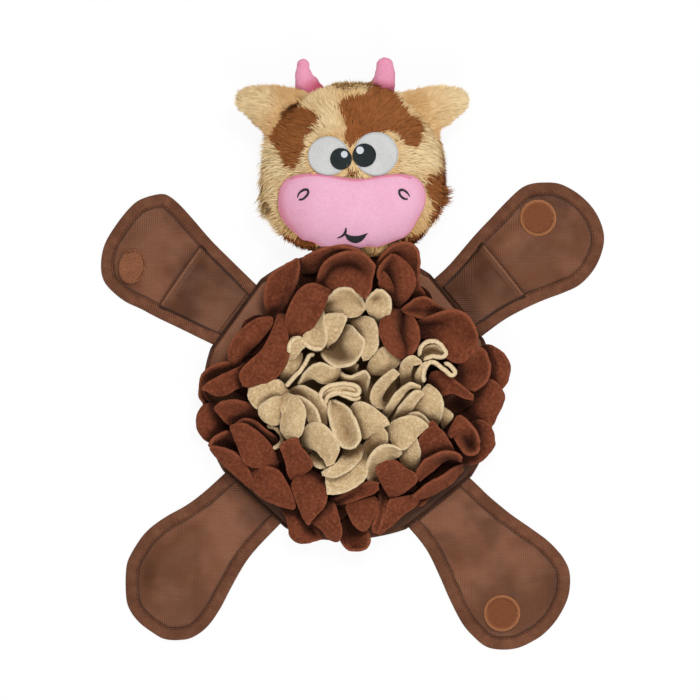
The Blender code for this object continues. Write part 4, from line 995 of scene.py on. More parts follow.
BROWN_PETALS = [
    # round the left side, from the head down
    Petal([(268, 316, 15), (264, 304, 19), (264, 290, 23), (270, 275, 26), (283, 266, 27), (297, 258, 26)],
          [(275, 320, 15), (284, 311, 19), (291, 299, 23), (297, 285, 26), (300, 270, 27), (299, 259, 26)], -4),
    Petal([(230, 364, 17), (227.5, 352, 21), (231, 341, 24), (241, 329, 26), (255, 319, 27), (271, 317, 26)],
          [(236, 367, 17), (246, 356, 20), (257, 345, 23), (266, 334, 25), (272, 325, 26), (272, 319, 26)], 5),
    Petal([(277, 316, 24), (271, 331, 30), (263, 348, 32), (250, 361, 32), (239, 373, 31), (243, 386, 29)],
          [(286, 317, 25), (288, 334, 32), (290, 350, 34), (286, 367, 33), (271, 382, 32), (249, 387, 29)], 4),
    Petal([(287, 335, 26), (284.5, 321, 32), (289, 305, 35), (298, 290, 36), (312, 283, 36), (330, 289, 33)],
          [(290, 339, 26), (302, 336, 30), (313, 328, 33), (322, 313, 34), (328, 299, 34), (331, 291, 33)], 4),
    Petal([(244, 363, 17), (228, 361, 20), (214, 364, 20), (204, 371, 19), (199, 382, 17), (199, 395, 15)],
          [(244, 386, 12), (232, 386, 13), (222, 388, 13), (212, 390, 13), (206, 393, 13), (200, 397, 13)], -1),
    Petal([(243, 364, 23), (231, 370, 27), (220, 375, 29), (210, 381, 28), (203, 386, 27), (202.5, 388, 26)],
          [(244, 387, 23), (234, 391, 26), (225, 396, 27), (216, 396.5, 27), (208, 392, 27), (203, 390, 26)], 2),
    Petal([(221, 405, 13), (212, 400, 15), (207, 394, 16), (203, 390, 17), (200, 392, 17), (200, 397, 16)],
          [(222, 420, 11), (216, 415, 12), (210, 410, 13), (206, 406, 14), (203, 402, 15), (201, 398, 16)], -2),
    Petal([(264, 416, 24), (253, 405, 28), (243, 400.5, 30), (232, 399, 30), (221, 401, 29), (214, 407, 27)],
          [(265, 430, 15), (251, 425, 17), (240, 425, 18), (231, 426, 20), (222, 418, 23), (214.5, 408.5, 26)], 2),
    Petal([(224, 404, 13), (215, 402, 14), (208, 403, 15), (202, 406, 15), (198.5, 413, 15), (197.5, 421, 14)],
          [(226, 441, 11), (218, 444, 12), (211, 444, 13), (204, 440, 14), (199.5, 432, 14), (197.5, 422, 14)], 5),
    Petal([(281, 445, 21), (276, 436, 25), (266, 428, 28), (256, 421, 30), (245, 418, 30), (235, 423, 28)],
          [(273, 450, 15), (265, 445, 17), (256, 439, 19), (248, 433, 21), (241, 428, 24), (235, 424.5, 27)], 1),
    Petal([(278, 460, 23), (272, 446, 28), (264, 436, 31), (254, 428, 33), (243, 422.5, 33), (231, 424.5, 31)],
          [(276, 467, 20), (262, 468, 24), (249, 467, 27), (241, 456, 29), (235, 441, 30), (230.5, 426, 30)], 4),
    Petal([(246, 446, 17), (240, 437, 24), (231, 432, 26), (221, 434, 27), (213, 439, 26), (209.5, 446, 25)],
          [(246, 453, 11), (236, 451, 12), (228, 450, 13), (220, 450, 14), (214, 449, 18), (209.5, 447.5, 23)], -3),
    Petal([(254, 480, 19), (249, 469, 25), (243, 460, 28), (235, 452, 30), (224, 448, 30), (210, 446, 26)],
          [(251, 488, 14), (241, 480, 17), (231, 471, 19), (222, 462, 20), (214, 456, 21), (209.5, 449, 23)], 2),
    Petal([(252, 467, 20), (265, 466, 25), (278, 469, 27), (287, 482, 28), (292, 493, 27), (295, 506, 25)],
          [(249, 480, 15), (255, 492, 18), (265, 500, 20), (276, 504, 22), (286, 507, 23), (294, 508.5, 24)], 5),
    Petal([(292, 481, 22), (287, 473, 28), (285, 463, 32), (282, 453, 35), (279.5, 445, 37), (290, 438, 38)],
          [(296, 480, 22), (305, 474, 28), (313.5, 465, 32), (309, 455, 35), (302, 447, 37), (298, 437, 38)], 2),
    Petal([(301, 472, 22), (291, 483, 27), (293, 495, 30), (298, 508, 31), (303, 518, 30), (308, 525, 28)],
          [(315, 469, 23), (326, 480, 28), (328, 493, 31), (325, 506, 32), (316, 516, 31), (309, 525, 28)], 4),
    Petal([(279, 506, 11), (286, 517, 15), (288, 527, 17), (289, 536, 17), (294, 542, 16), (301, 544, 15)],
          [(308, 504, 12), (313, 515, 14), (317, 524, 15), (320, 531, 15), (323, 536, 15), (324, 539, 14)], 0,
          between=[[(293, 507, 16), (297, 518, 20), (299, 527, 21), (299, 533, 20), (303, 539, 18), (310, 543, 15)],
                   [(300, 506, 10), (306, 516, 11), (310, 525, 11), (312, 531, 12), (314, 537, 13), (317, 541, 14)]]),
    Petal([(314, 515, 17), (311, 521, 21), (317, 527, 23), (323, 532, 24), (328, 538, 23), (334, 541, 21)],
          [(328, 502, 19), (334, 502, 23), (338, 512, 26), (341, 523, 27), (342, 533, 26), (339, 540, 22)], 4),
    Petal([(343, 520, 11), (339, 530, 14), (339, 538, 15), (342, 545, 15), (348, 550, 15), (356, 551, 15)],
          [(362, 520, 13), (369, 530, 19), (370, 537, 21), (370, 543, 21), (366, 549, 19), (358, 551, 16)], -4),
    Petal([(326, 501, 19), (337, 496, 25), (349, 489, 28), (361, 484, 29), (371, 481, 29), (379, 482, 27)],
          [(328, 504, 16), (339, 505, 20), (350, 503, 22), (360, 499, 24), (371, 495, 24), (379, 490, 24)], -1.5),
    Petal([(351, 498, 17), (345, 505, 22), (348, 514, 26), (352, 522, 27), (358, 528, 26), (363, 531, 25)],
          [(373, 494, 17), (378, 501, 22), (377, 511, 25), (373, 520, 27), (369, 528, 26), (365, 531, 25)], 4),
    Petal([(380, 487, 17), (379, 500, 22), (377, 511, 25), (374, 520, 25), (371, 528, 23), (373, 533, 21)],
          [(387, 487, 17), (387, 499, 22), (385, 509, 25), (384, 518, 25), (382, 526, 24), (378, 533.5, 21)], -2),
    Petal([(389, 498, 22), (383, 487, 28), (377, 476, 32), (375, 468, 34), (382, 462, 35), (391, 460, 35)],
          [(395, 497, 22), (407, 491, 27), (418, 480, 30), (415, 473, 33), (405, 467, 35), (396, 461, 35)], 3),
    Petal([(413, 494, 18), (399, 497, 23), (388, 500, 26), (385, 511, 26), (381, 522, 25), (377, 533, 21)],
          [(421, 496, 13), (416, 506, 16), (405, 513, 18), (397, 521, 19), (388, 528, 20), (379, 535, 19)], 3),
    Petal([(461, 463, 18), (452, 469, 24), (443, 474, 27), (434, 479, 28), (424, 485.5, 27), (412, 496, 23)],
          [(461, 471, 13), (453, 481, 15), (443, 489, 16), (434, 494.5, 17), (424, 498.5, 18), (411, 501, 19)], 2),
    Petal([(461, 459, 31), (457, 453, 35), (446, 451, 37), (434, 455, 37), (423, 463, 36), (415, 475, 32)],
          [(460, 461, 20), (455, 459, 22), (447, 459.5, 23), (438, 465.5, 23), (428, 474, 24), (419, 482, 26)], 0),
    Petal([(420, 467, 21), (416.5, 455, 27), (417.5, 442, 32), (423, 430, 35), (429, 423, 36), (432, 420.5, 36)],
          [(441, 455, 21), (454, 452, 27), (450, 441, 32), (444, 432, 35), (438, 426, 36), (433, 420.5, 36)], 2),
    Petal([(449, 433, 29), (453, 422, 33), (459, 414, 35), (468, 421, 36), (475.5, 432, 36), (479.5, 443, 34)],
          [(453, 437, 28), (457, 444, 31), (463, 451, 33), (470, 455, 34), (476, 453, 34), (479, 447, 33)], 0, curl=0,
          between=[[(451, 435, 30), (457, 428, 34), (463, 424, 35), (468, 428, 33), (473, 435, 28), (478, 444, 31)],
                   [(452, 436, 27), (458, 435, 29), (463, 438, 25), (468, 443, 22), (473, 447, 24), (478, 447, 31)]]),
    Petal([(466, 424, 13), (475, 420, 17), (483, 419.5, 18), (490, 425, 18), (493.5, 435, 17), (494.5, 443, 16)],
          [(456, 461, 11), (467, 465, 14), (476, 464, 16), (484, 459.5, 17), (491, 451, 17), (494.5, 444, 16)], 5),
    Petal([(470, 391, 15), (481, 381, 21), (490, 378.5, 23), (499, 384, 22), (503.5, 391, 20), (504.5, 399, 18)],
          [(470, 425, 11), (480, 425, 14), (491, 427, 16), (496, 417, 17), (501, 408, 18), (504.5, 400, 18)], 4),
    Petal([(452, 416, 13), (444, 408, 16), (442, 400, 19), (448, 393, 21), (455, 391, 21), (463, 393, 21)],
          [(459, 415, 13), (464, 409, 17), (471, 405, 20), (473, 401, 20), (469, 396, 21), (464, 393, 21)], -3),
    Petal([(429, 386, 23), (429, 374, 29), (437, 370, 32), (449, 375, 33), (460, 384, 32), (474, 394, 29)],
          [(433, 391, 20), (438, 396, 24), (444, 396, 26), (452, 393, 27), (462, 397, 27), (473, 400, 27)], 1),
    Petal([(455, 371, 23), (459, 363, 27), (465, 357, 30), (470, 352, 32), (474, 348, 32), (478, 346, 31)],
          [(455, 380, 24), (464, 389, 28), (475, 391, 31), (487, 382, 32), (491, 367, 33), (485, 350, 32)], -4.5),
    Petal([(478, 348, 13), (487, 344, 18), (496, 347, 20), (504, 354, 20), (508.5, 363, 19), (509.5, 370, 17)],
          [(480, 386, 11), (488, 384, 15), (496, 386, 17), (502, 389.5, 18), (507, 381, 18), (509.5, 371, 17)], 5),
    Petal([(415, 320, 25), (428, 317, 32), (441, 312, 37), (456, 310, 38), (469, 318, 37), (478, 334, 34)],
          [(419, 338, 25), (427, 342, 29), (438, 348, 32), (448, 360, 34), (463, 363, 34), (477, 349, 33)], 0,
          between=[[(417, 328, 23), (428, 324, 22), (440, 323, 24), (455, 325, 26), (466, 331, 28), (478, 340, 32)],
                   [(418, 334, 24), (428, 335, 27), (439, 340, 31), (452, 346, 34), (464, 349, 35), (478, 345, 33)]]),
    Petal([(447, 311, 19), (438, 305, 26), (428, 297.5, 30), (418, 297.5, 31), (408, 303, 30), (400, 310, 28)],
          [(448, 317, 17), (437, 318, 21), (427, 319, 24), (418, 319, 26), (409, 316, 27), (401, 311.5, 27)], -3),
    Petal([(389, 311, 31), (381, 320, 37), (378.5, 332, 39), (383, 344, 40), (391, 354, 39), (400, 358.5, 36)],
          [(411, 316, 29), (417, 322, 35), (420.5, 334, 38), (419, 344, 39), (415, 351, 39), (409, 357, 36)], 0,
          between=[[(395, 310, 32), (391, 321, 39), (390, 332, 42), (393, 342, 42), (398, 350, 41), (402, 358.5, 37)],
                   [(403, 313, 22), (402, 322, 25), (401, 331, 28), (403, 340, 31), (406, 348, 34), (406, 358, 36)],
                   [(407, 315, 28), (410, 325, 35), (411, 336, 38), (412, 345, 39), (411, 351, 39), (408, 357.5, 37)]]),
    Petal([(391, 309, 22), (386, 296, 28), (380, 284, 33), (376, 275, 36), (380, 265, 38), (391, 254, 37)],
          [(399, 309, 22), (409, 298, 31), (416, 283, 36), (413, 270, 38), (404, 260, 38), (395, 254, 37)], 0,
          between=[[(394, 309, 19), (393, 297, 23), (391, 285, 26), (389, 274, 28), (389, 266, 31), (393, 254, 36)],
                   [(396, 309, 22), (401, 297, 33), (403, 284, 39), (402, 273, 41), (398, 263, 40), (394, 254, 37)]]),
    Petal([(390, 300, 27), (383, 293, 32), (379, 287, 34), (378, 281, 35), (380, 276, 35), (383, 272, 34)],
          [(395, 299, 27), (395, 291, 31), (393, 284, 33), (390, 278, 34), (387, 274, 35), (384, 272, 34)], 2),
    Petal([(376, 267, 32), (382, 255, 39), (393, 245, 42), (405, 242, 43), (416, 247, 42), (420.5, 262, 39)],
          [(384, 270, 26), (389, 262, 29), (396, 258, 31), (403, 261, 31), (410, 268, 31), (418, 282, 30)], -2),
    Petal([(412, 299, 19), (409, 291, 24), (411, 284, 27), (413, 280, 28), (415, 279, 28), (417, 280, 27)],
          [(427, 300, 18), (425, 293, 23), (421, 287, 26), (419, 283, 27), (418, 281, 27), (417, 280, 27)], 2),
    Petal([(315, 287, 27), (319, 271, 36), (329, 258, 42), (346, 251.5, 45), (364, 253, 45), (376, 266, 43)],
          [(329, 289, 25), (333, 291, 30), (341, 291, 34), (350, 291, 37), (358, 294, 39), (366, 300, 40)], 0,
          between=[[(320, 287, 24), (326, 276, 27), (334, 267, 29), (347, 264, 30), (360, 268, 32), (373, 279, 38)],
                   [(325, 288, 25), (330, 283, 31), (339, 279, 36), (349, 277, 39), (360, 281, 41), (371, 290, 41)]]),
    Petal([(302, 258, 29), (312, 253, 38), (324, 248.5, 43), (337, 246, 45), (349, 247, 45), (361, 250, 42)],
          [(306, 274, 19), (316, 272, 23), (325, 268, 27), (334, 262, 32), (346, 257, 37), (360, 254, 40)], -3),
    Petal([(300, 292, 11), (299, 281, 14), (301, 271, 16), (304, 264, 17), (308, 261, 17), (312, 262, 16)],
          [(318, 290, 11), (320, 281, 13), (319, 273, 15), (317, 267, 16), (315, 263, 16), (313, 262, 16)], 2),
]

CREAM_PETALS = [
    Petal([(289, 392, 26), (281, 380, 29), (271, 380, 31), (260, 384, 32), (252, 387, 32), (248, 388, 31)],
          [(289, 394, 26), (279, 397, 28), (269, 401, 30), (262, 407, 31), (256, 409, 31), (249, 399, 31)], 3),
    Petal([(324, 306, 28), (330, 295, 35), (340, 288, 38), (351, 288, 39), (361, 296, 38), (366, 307, 36)],
          [(325, 312, 26), (335, 315, 31), (344, 317, 33), (353, 317, 34), (361, 315, 34), (366, 309, 35)], 0,
          between=[[(324, 309, 26), (333, 302, 30), (342, 299, 31), (351, 300, 32), (359, 304, 34), (366, 308, 35)],
                   [(324, 311, 26), (334, 309, 33), (343, 309, 36), (352, 310, 37), (360, 310, 37), (366, 308.5, 35)]]),
    Petal([(376, 323, 27), (370, 316, 33), (365, 308, 36), (366, 300, 39), (371, 294, 40), (377, 289.5, 40)],
          [(382, 323, 27), (388, 317, 34), (392, 308, 38), (391, 299, 40), (387, 294, 40), (381, 289.5, 40)], 0,
          between=[[(379, 323, 27), (379, 315, 37), (378, 307, 38), (376, 300, 33), (377, 295, 35), (379, 290, 39)]]),
    Petal([(320, 311, 28), (315, 322, 30), (309, 331, 31), (302, 338, 32), (310, 346, 33), (319, 350, 33)],
          [(324, 310, 31), (326, 319, 36), (327, 328, 38), (328, 337, 38), (326, 345, 36), (321, 350, 33)], 1),
    Petal([(326, 346, 30), (325, 336, 35), (324, 326, 38), (323, 316, 40), (333, 313, 41), (343, 313, 41)],
          [(329, 345, 30), (337, 340, 33), (342, 332, 36), (345, 325, 39), (347, 320, 41), (347, 316, 41)], 1),
    Petal([(325, 345, 20), (321, 352, 31), (326, 361, 36), (336, 367, 38), (346, 367, 39), (356, 363, 39)],
          [(345, 325, 26), (349, 324, 34), (355, 329, 38), (361, 335, 39), (365, 342, 40), (361, 355, 40)], 0,
          between=[[(332, 338, 16), (331, 345, 17), (336, 352, 20), (342, 357, 25), (349, 360, 32), (357, 361, 38)],
                   [(340, 330, 22), (343, 333, 28), (348, 340, 32), (353, 347, 34), (357, 352, 37), (360, 357, 39)]]),
    Petal([(348, 321, 29), (355, 328, 31), (361, 335, 33), (364, 344, 35), (361, 353, 37), (363, 361, 37)],
          [(362, 317, 31), (373, 318, 37), (378, 327, 39), (379, 337, 40), (378, 349, 40), (369, 360, 38)], 3),
    Petal([(366, 369, 31), (370, 359, 34), (377, 350, 36), (385, 346, 37), (393, 351, 37), (401, 359, 35)],
          [(367, 373, 30), (374, 376, 32), (382, 376, 34), (389, 373, 35), (396, 368, 35), (401, 361, 34)], 1, curl=1),
    Petal([(287, 362, 27), (286, 352, 33), (288, 343, 36), (292, 337, 38), (299, 336, 39), (305, 340, 39)],
          [(292, 361, 26), (297, 356, 31), (301, 351, 34), (304, 348, 36), (307, 346, 37), (309, 344, 38)], 3),
    Frill([(289, 353), (289.5, 345), (294, 339.5), (300, 338.5), (305, 343), (310, 347), (317, 349.5), (323, 348)],
          39, (0, 3), 0.9, 1),
    Petal([(279, 382, 17), (280, 375, 23), (284, 369, 26), (287, 363, 28), (290, 358, 29), (293, 355, 29)],
          [(285, 383, 17), (291, 377, 23), (297, 370, 26), (302, 362, 28), (303, 354, 29), (299, 350, 29)], 2),
    Frill([(286, 387), (292, 379), (299, 372), (305, 364), (310, 355), (315, 355)], 34, (3, 3), 0.9, 1),
    Petal([(297, 386, 27), (303, 376, 34), (311, 366, 38), (320, 362.5, 39), (331, 366.5, 39), (341, 368, 35)],
          [(300, 387, 23), (306, 381, 26), (313, 378, 29), (322, 384, 30), (332, 383, 30), (341, 376, 30)], 1),
    Petal([(340, 369, 30), (344, 374, 35), (351, 376, 37), (358, 373, 38), (365, 370, 38), (371, 377, 36)],
          [(340, 385, 21), (345, 388, 24), (351, 387, 25), (358, 387, 26), (364, 393, 27), (366, 399, 26)], 0),
    Petal([(342, 372, 20), (343, 366, 26), (346, 363, 29), (350, 362, 30), (354, 363, 30), (357, 366, 29)],
          [(358, 376, 20), (358, 373, 26), (358, 370, 29), (358, 368, 30), (358, 367, 30), (357, 366, 29)], 1),
    Petal([(401, 385, 27), (399, 374, 34), (400, 364, 38), (406, 357, 40), (414, 355, 40), (422, 361, 38)],
          [(413, 385, 24), (411, 377, 30), (412, 369, 34), (414, 365.5, 36), (417, 365, 37), (422, 363.5, 37)], 2),
    Petal([(420, 358, 30), (422, 350, 33), (428, 345, 35), (436, 344, 36), (442, 348, 36), (446, 354, 34)],
          [(421, 360, 30), (426, 359, 32), (431, 358, 33), (436, 357, 33), (441, 357, 33), (445, 355, 33)], -2, curl=0),
    Frill([(419, 357), (420.5, 348), (427, 342), (435, 341), (442, 345.5), (446.5, 353.5), (441, 357.5),
           (432, 356.5), (423, 360)], 40, (0, 1), 0.85, 1),
    Frill([(424, 383), (423, 375), (426, 366), (431, 362), (438, 364.5), (446, 371), (452, 375.5),
           (455.5, 372), (451, 366.5), (444, 362.5)], 40, (0, 1), 0.85, 1),
    Petal([(418, 388, 25), (414.5, 377, 32), (417, 370, 36), (420, 366, 38), (423, 363.5, 39), (426, 362, 39)],
          [(425, 388, 25), (423, 377, 33), (424, 371, 37), (425, 367, 39), (426, 364, 39), (428, 362, 39)], 2),
    Petal([(391, 409, 26), (379, 410, 32), (370, 402, 36), (372, 388, 39), (382, 376, 41), (393, 368, 40)],
          [(392, 402, 23), (384, 402, 26), (381, 398, 29), (385, 389, 33), (392, 381, 36), (400, 374, 38)], 3),
    Petal([(381, 413, 28), (388, 403, 35), (395, 393, 39), (404, 385, 41), (412, 382, 41), (421, 386, 39)],
          [(389, 416, 25), (395, 407, 31), (400, 399, 34), (406, 392, 36), (412, 388, 37), (421, 390, 37)], 2),
    Petal([(391, 421, 28), (398, 409, 36), (404, 401, 40), (410, 394, 42), (416, 390, 42), (423, 391, 40)],
          [(405, 419, 26), (411, 412, 31), (415, 405, 34), (419, 399, 36), (422, 396, 38), (424, 394, 39)], 2),
    Petal([(417, 417, 24), (410, 411, 29), (413, 402, 32), (418, 395, 34), (422, 389, 36), (427, 383.5, 36)],
          [(437, 428, 24), (442, 418, 30), (444, 406, 34), (442, 396, 36), (437, 389, 37), (430, 383.5, 36)], 3),
    Petal([(441, 430, 19), (440, 422, 24), (441, 414, 27), (443, 409, 28), (444, 407.5, 28)],
          [(443, 429, 19), (449, 422, 25), (454, 415, 28), (450, 411, 28), (445, 407.5, 28)], 2),
    Petal([(347, 411, 28), (357, 401, 35), (369, 404, 38), (379, 411, 39), (386, 417, 39), (390, 423, 38)],
          [(351, 415, 26), (357, 427, 31), (363, 440, 33), (373, 434, 35), (382, 428, 37), (390, 425, 38)], 3),
    Petal([(404, 419, 29), (409, 413, 34), (415, 411.5, 36), (421, 413, 36), (427, 418, 35), (430, 423, 34)],
          [(406, 426, 26), (412, 424, 30), (418, 423, 32), (423, 424, 33), (427, 425, 33), (430, 425, 33)], 1),
    Petal([(386, 429, 30), (394, 420, 36), (405, 416, 40), (415, 415.5, 41), (422, 419, 41), (428, 424, 39)],
          [(387, 436, 27), (393, 444, 32), (402, 450, 34), (411, 444, 35), (420, 434, 37), (428, 427, 38)], 3),
    Petal([(413, 470, 19), (405, 466, 24), (399, 459, 27), (403, 451, 30), (408, 444, 31), (414, 437, 31)],
          [(417, 469, 19), (420, 460, 25), (420.5, 453, 29), (419.5, 447, 31), (418, 442, 32), (416, 437, 31)], 3),
    Petal([(365, 459, 21), (362, 448, 26), (366, 440, 29), (372, 433, 31), (378, 428, 33), (382, 427, 33)],
          [(372, 458, 21), (382, 450, 27), (388, 443, 30), (388.5, 437, 32), (387, 432, 33), (383, 427, 33)], 2),
    Petal([(368, 483, 24), (366, 472, 31), (367.5, 461, 36), (375, 449.5, 39), (388, 444.5, 40), (402, 449, 38)],
          [(378, 481, 22), (377, 472, 25), (379, 466, 28), (386, 461, 30), (394, 460, 32), (402, 455, 35)], -1),
    Petal([(303, 433, 29), (308, 424, 36), (320, 422, 40), (332, 432, 41), (340, 448, 41), (334, 464, 37)],
          [(301, 447, 25), (309, 448, 30), (316, 451, 33), (321, 457, 35), (325, 462, 35), (327, 467, 34)], 3),
    Petal([(310, 451, 23), (310, 459, 27), (314, 466, 30), (320, 469, 32), (327, 469.5, 32), (333, 467, 31)],
          [(319, 451, 21), (322, 455, 24), (325, 459, 27), (328, 462, 29), (331, 464, 30), (333, 466, 31)], 1),
    Petal([(290, 390, 26), (301, 385, 32), (313, 390, 35), (322, 398, 36), (328, 411, 36), (327, 425, 33)],
          [(292, 395, 23), (300, 397, 27), (308, 402, 29), (314, 408, 30), (318, 415, 31), (320, 425, 30)], 1),
    Petal([(287, 397, 28), (298, 395.5, 35), (308, 400, 38), (316, 408, 39), (320, 416, 39), (322, 425, 36)],
          [(292, 403, 25), (299, 407, 29), (304, 412, 31), (307, 417, 32), (309, 422, 32), (312, 425, 32)], 1),
    Petal([(284, 396, 30), (274, 396, 36), (266, 400, 38), (259, 406, 38), (258, 412, 36), (263, 420, 34)],
          [(285, 411, 23), (284, 414, 26), (283, 418, 29), (281, 422, 31), (278, 425, 32), (270, 425, 33)], 4),
    Petal([(279, 398, 27), (280, 406, 31), (282, 414, 34), (280, 422, 36), (280, 430, 36), (286, 439, 34)],
          [(290, 394, 32), (300, 398, 38), (306, 410, 41), (305, 424, 41), (302, 434, 38), (295, 441, 35)], 4),
    Petal([(321, 400, 29), (324, 392, 33), (331, 387.5, 35), (341, 385.5, 35), (352, 386.5, 35), (359, 391, 34)],
          [(324, 404, 29), (328, 400, 32), (336, 396, 34), (345, 397, 34), (353, 398, 34), (360, 395, 33)], -1, curl=0),
    Frill([(320, 399), (322, 391), (330, 386), (341, 384), (352, 385), (359, 389), (358, 394.5), (349, 394),
           (341, 391.5)], 38, (0, 2), 0.85, 1),
    Frill([(325, 404), (328, 396), (336, 392.5), (345, 395.5), (354, 399), (361, 397.5)], 36, (0, 4), 0.9, 1),
    Petal([(329, 402, 34), (327, 411, 38), (329.5, 422, 40), (333, 434, 41), (340, 446, 42), (350, 450, 41)],
          [(334, 400.5, 34), (346, 406, 39), (355, 417, 42), (359, 427, 43), (361, 438, 43), (356, 448, 41)], -7),
    Petal([(344, 449, 26), (341, 455, 31), (338, 461, 34), (333, 465, 36), (327, 469, 37), (321, 472, 36)],
          [(366, 446, 26), (362, 458, 32), (353, 468, 36), (343, 475, 38), (333, 478.5, 39), (322, 476, 37)], 1, curl=1),
    Petal([(360, 455, 23), (354, 462, 28), (346, 470, 31), (337, 474, 32), (330, 476, 32), (325, 477, 32)],
          [(367, 455, 26), (369, 468, 31), (365, 480, 33), (353, 489, 34), (341, 494, 34), (327, 495, 33)], 2, curl=1),
    Frill([(267, 425), (275, 428), (281, 434), (282, 441), (277, 446.5), (273, 449)], 31, (4, 0), 0.9, 1),
    Petal([(299, 450, 19), (300, 444, 24), (304, 443, 26), (308, 444, 27), (311, 447, 27), (312, 450, 26)],
          [(304, 455, 17), (306, 453, 22), (308, 452, 24), (310, 451, 25), (311, 451, 26), (312, 450.5, 26)], 1),
]

PETAL_NODES = {
    "brown": ["brown_petals_outer_a", "brown_petals_outer_b", "brown_petals_outer_c", "brown_petals_outer_d",
              "brown_petals_inner_a", "brown_petals_inner_b", "brown_petals_inner_c", "brown_petals_inner_d"],
    "cream": ["cream_petals_outer_a", "cream_petals_outer_b", "cream_petals_outer_c", "cream_petals_middle_a",
              "cream_petals_middle_b", "cream_petals_inner_a", "cream_petals_inner_b", "cream_centre_tuft"],
}


def under_petal(azimuth, distance, heading, length, width, height):
    """A plain petal under the ones drawn: an oval at an azimuth and a distance, in pixels."""
    turned = math.radians(heading)
    middle = (352 + distance * math.cos(math.radians(azimuth)), 396 - distance * math.sin(math.radians(azimuth)))
    forward = (math.cos(turned), -math.sin(turned))
    side = (-forward[1], forward[0])
    edges = []
    for sign in (-1, 1):
        edges.append([(middle[0] + forward[0] * length * along + side[0] * sign * width * wide,
                       middle[1] + forward[1] * length * along + side[1] * sign * width * wide,
                       height + 3 * along)
                      for along, wide in ((-0.5, 0.38), (-0.25, 0.46), (0, 0.5), (0.25, 0.44), (0.42, 0.27),
                                          (0.5, 0.04))])
    return Petal(edges[0], edges[1], 3, wave=1.6)


def under_petals():
    """Rings of lower petals, so that nothing bare shows between the ones drawn."""
    brown = [under_petal(22.5 * number + 11, 108, 22.5 * number + 11, 44, 40, 10) for number in range(16)]
    brown += [under_petal(30 * number, 90, 30 * number + 20, 46, 44, 12) for number in range(12)]
    cream = [under_petal(45 * number + 10, 55, 45 * number + 70, 46, 44, 13) for number in range(8)]
    cream += [under_petal(90 * number, 24, 90 * number + 60, 46, 44, 15) for number in range(4)]
    return {"brown": brown, "cream": cream}


def blurred(values, width):
    """A field softened over a width in cells."""
    reach = int(width * 2.5)
    kernel = np.exp(-0.5 * (np.arange(-reach, reach + 1) / width) ** 2)
    kernel = kernel / kernel.sum()
    for axis in (0, 1):
        values = np.apply_along_axis(lambda line: np.convolve(line, kernel, "same"), axis, values)
    return values


def shade_hollows(pieces):
    """Marks on each petal how far it lies under the ones around it, for its painted shade, and how far over them, for
    its painted light.
    """
    cell = 1.2 * MM
    size = 240
    floor = BODY_HIGH + 4 * MM
    tops = np.full((size, size), floor)
    places = []
    for piece in pieces:
        points = np.empty(len(piece.data.vertices) * 3)
        piece.data.vertices.foreach_get("co", points)
        points = points.reshape(-1, 3)
        places.append(points)
        x, y = (np.clip(points[:, axis] / cell + size / 2, 1, size - 2).astype(int) for axis in (0, 1))
        for side in ((0, 0), (1, 0), (0, 1), (-1, 0), (0, -1)):
            np.maximum.at(tops, (x + side[0], y + side[1]), points[:, 2])
    spread = tops.copy()
    for shift in ((2, 0), (-2, 0), (0, 2), (0, -2), (1, 1), (-1, 1), (1, -1), (-1, -1)):
        spread = np.maximum(spread, np.roll(tops, shift, (0, 1)))
    near = blurred(spread, 3.0)
    wide = blurred(spread, 7.0)
    for piece, points in zip(pieces, places):
        x, y = (np.clip(points[:, axis] / cell + size / 2, 1, size - 2).astype(int) for axis in (0, 1))
        under_near = smooth((near[x, y] - points[:, 2] - 2.2 * MM) / (6 * MM))
        under_wide = smooth((wide[x, y] - points[:, 2] - 3.0 * MM) / (11 * MM))
        # painted shade in hollows and under other petals
        painted_shade = 0.75 * under_near + 0.6 * under_wide
        # painted light on crests that stand over the rest
        painted_crest_light = smooth((points[:, 2] - near[x, y] + 1.5 * MM) / (5 * MM))
        for label, values in (("painted_shade", np.clip(painted_shade, 0, 1)), ("painted_crest_light", painted_crest_light)):
            layer = piece.data.attributes.new(label, "FLOAT", "POINT")
            layer.data.foreach_set("value", values.astype(np.float32))


CHIN_EDGE = 95.5 * MM


def pushed_by(points):
    """The body that a petal reaches towards, the head or a limb, and two points near where that body meets the disc; or
    nothing when it reaches none.
    """
    if points[:, 1].max() > CHIN_EDGE:
        return "head", np.array((0, CHIN_EDGE - 30 * MM, 0)), np.array((0, CHIN_EDGE - 2 * MM, 0))
    furthest = -12 * MM
    found = None
    for name in LIMB_OUTLINES:
        foot, out, along = seam_frame(name)
        beside = points[np.abs((points - foot) @ along) < 30 * MM]
        reach = ((beside - foot) @ out).max() if len(beside) else -1
        if reach > furthest:
            furthest = reach
            found = name, foot - out * 30 * MM, foot + out * 40 * MM
    return found


def make_petals():
    lower = under_petals()
    pieces = []
    for colour, drawn in (("brown", BROWN_PETALS), ("cream", CREAM_PETALS)):
        for number, petal in enumerate(drawn + lower[colour]):
            name = f"{colour}_petal_{number + 1:02d}"
            made, run = petal.make(name, f"{colour}_fleece", 40 + number)
            pieces.append(made)
            nodes = PETAL_NODES[colour] if number == 0 else ()
            pushed = pushed_by(np.array([vertex.co for vertex in made.data.vertices]))
            if pushed:
                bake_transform(made)
                if nodes:
                    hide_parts(*nodes)
            else:
                settle(made, "base", f"{colour}_fleece", *nodes)
    shade_hollows(pieces)


# Head

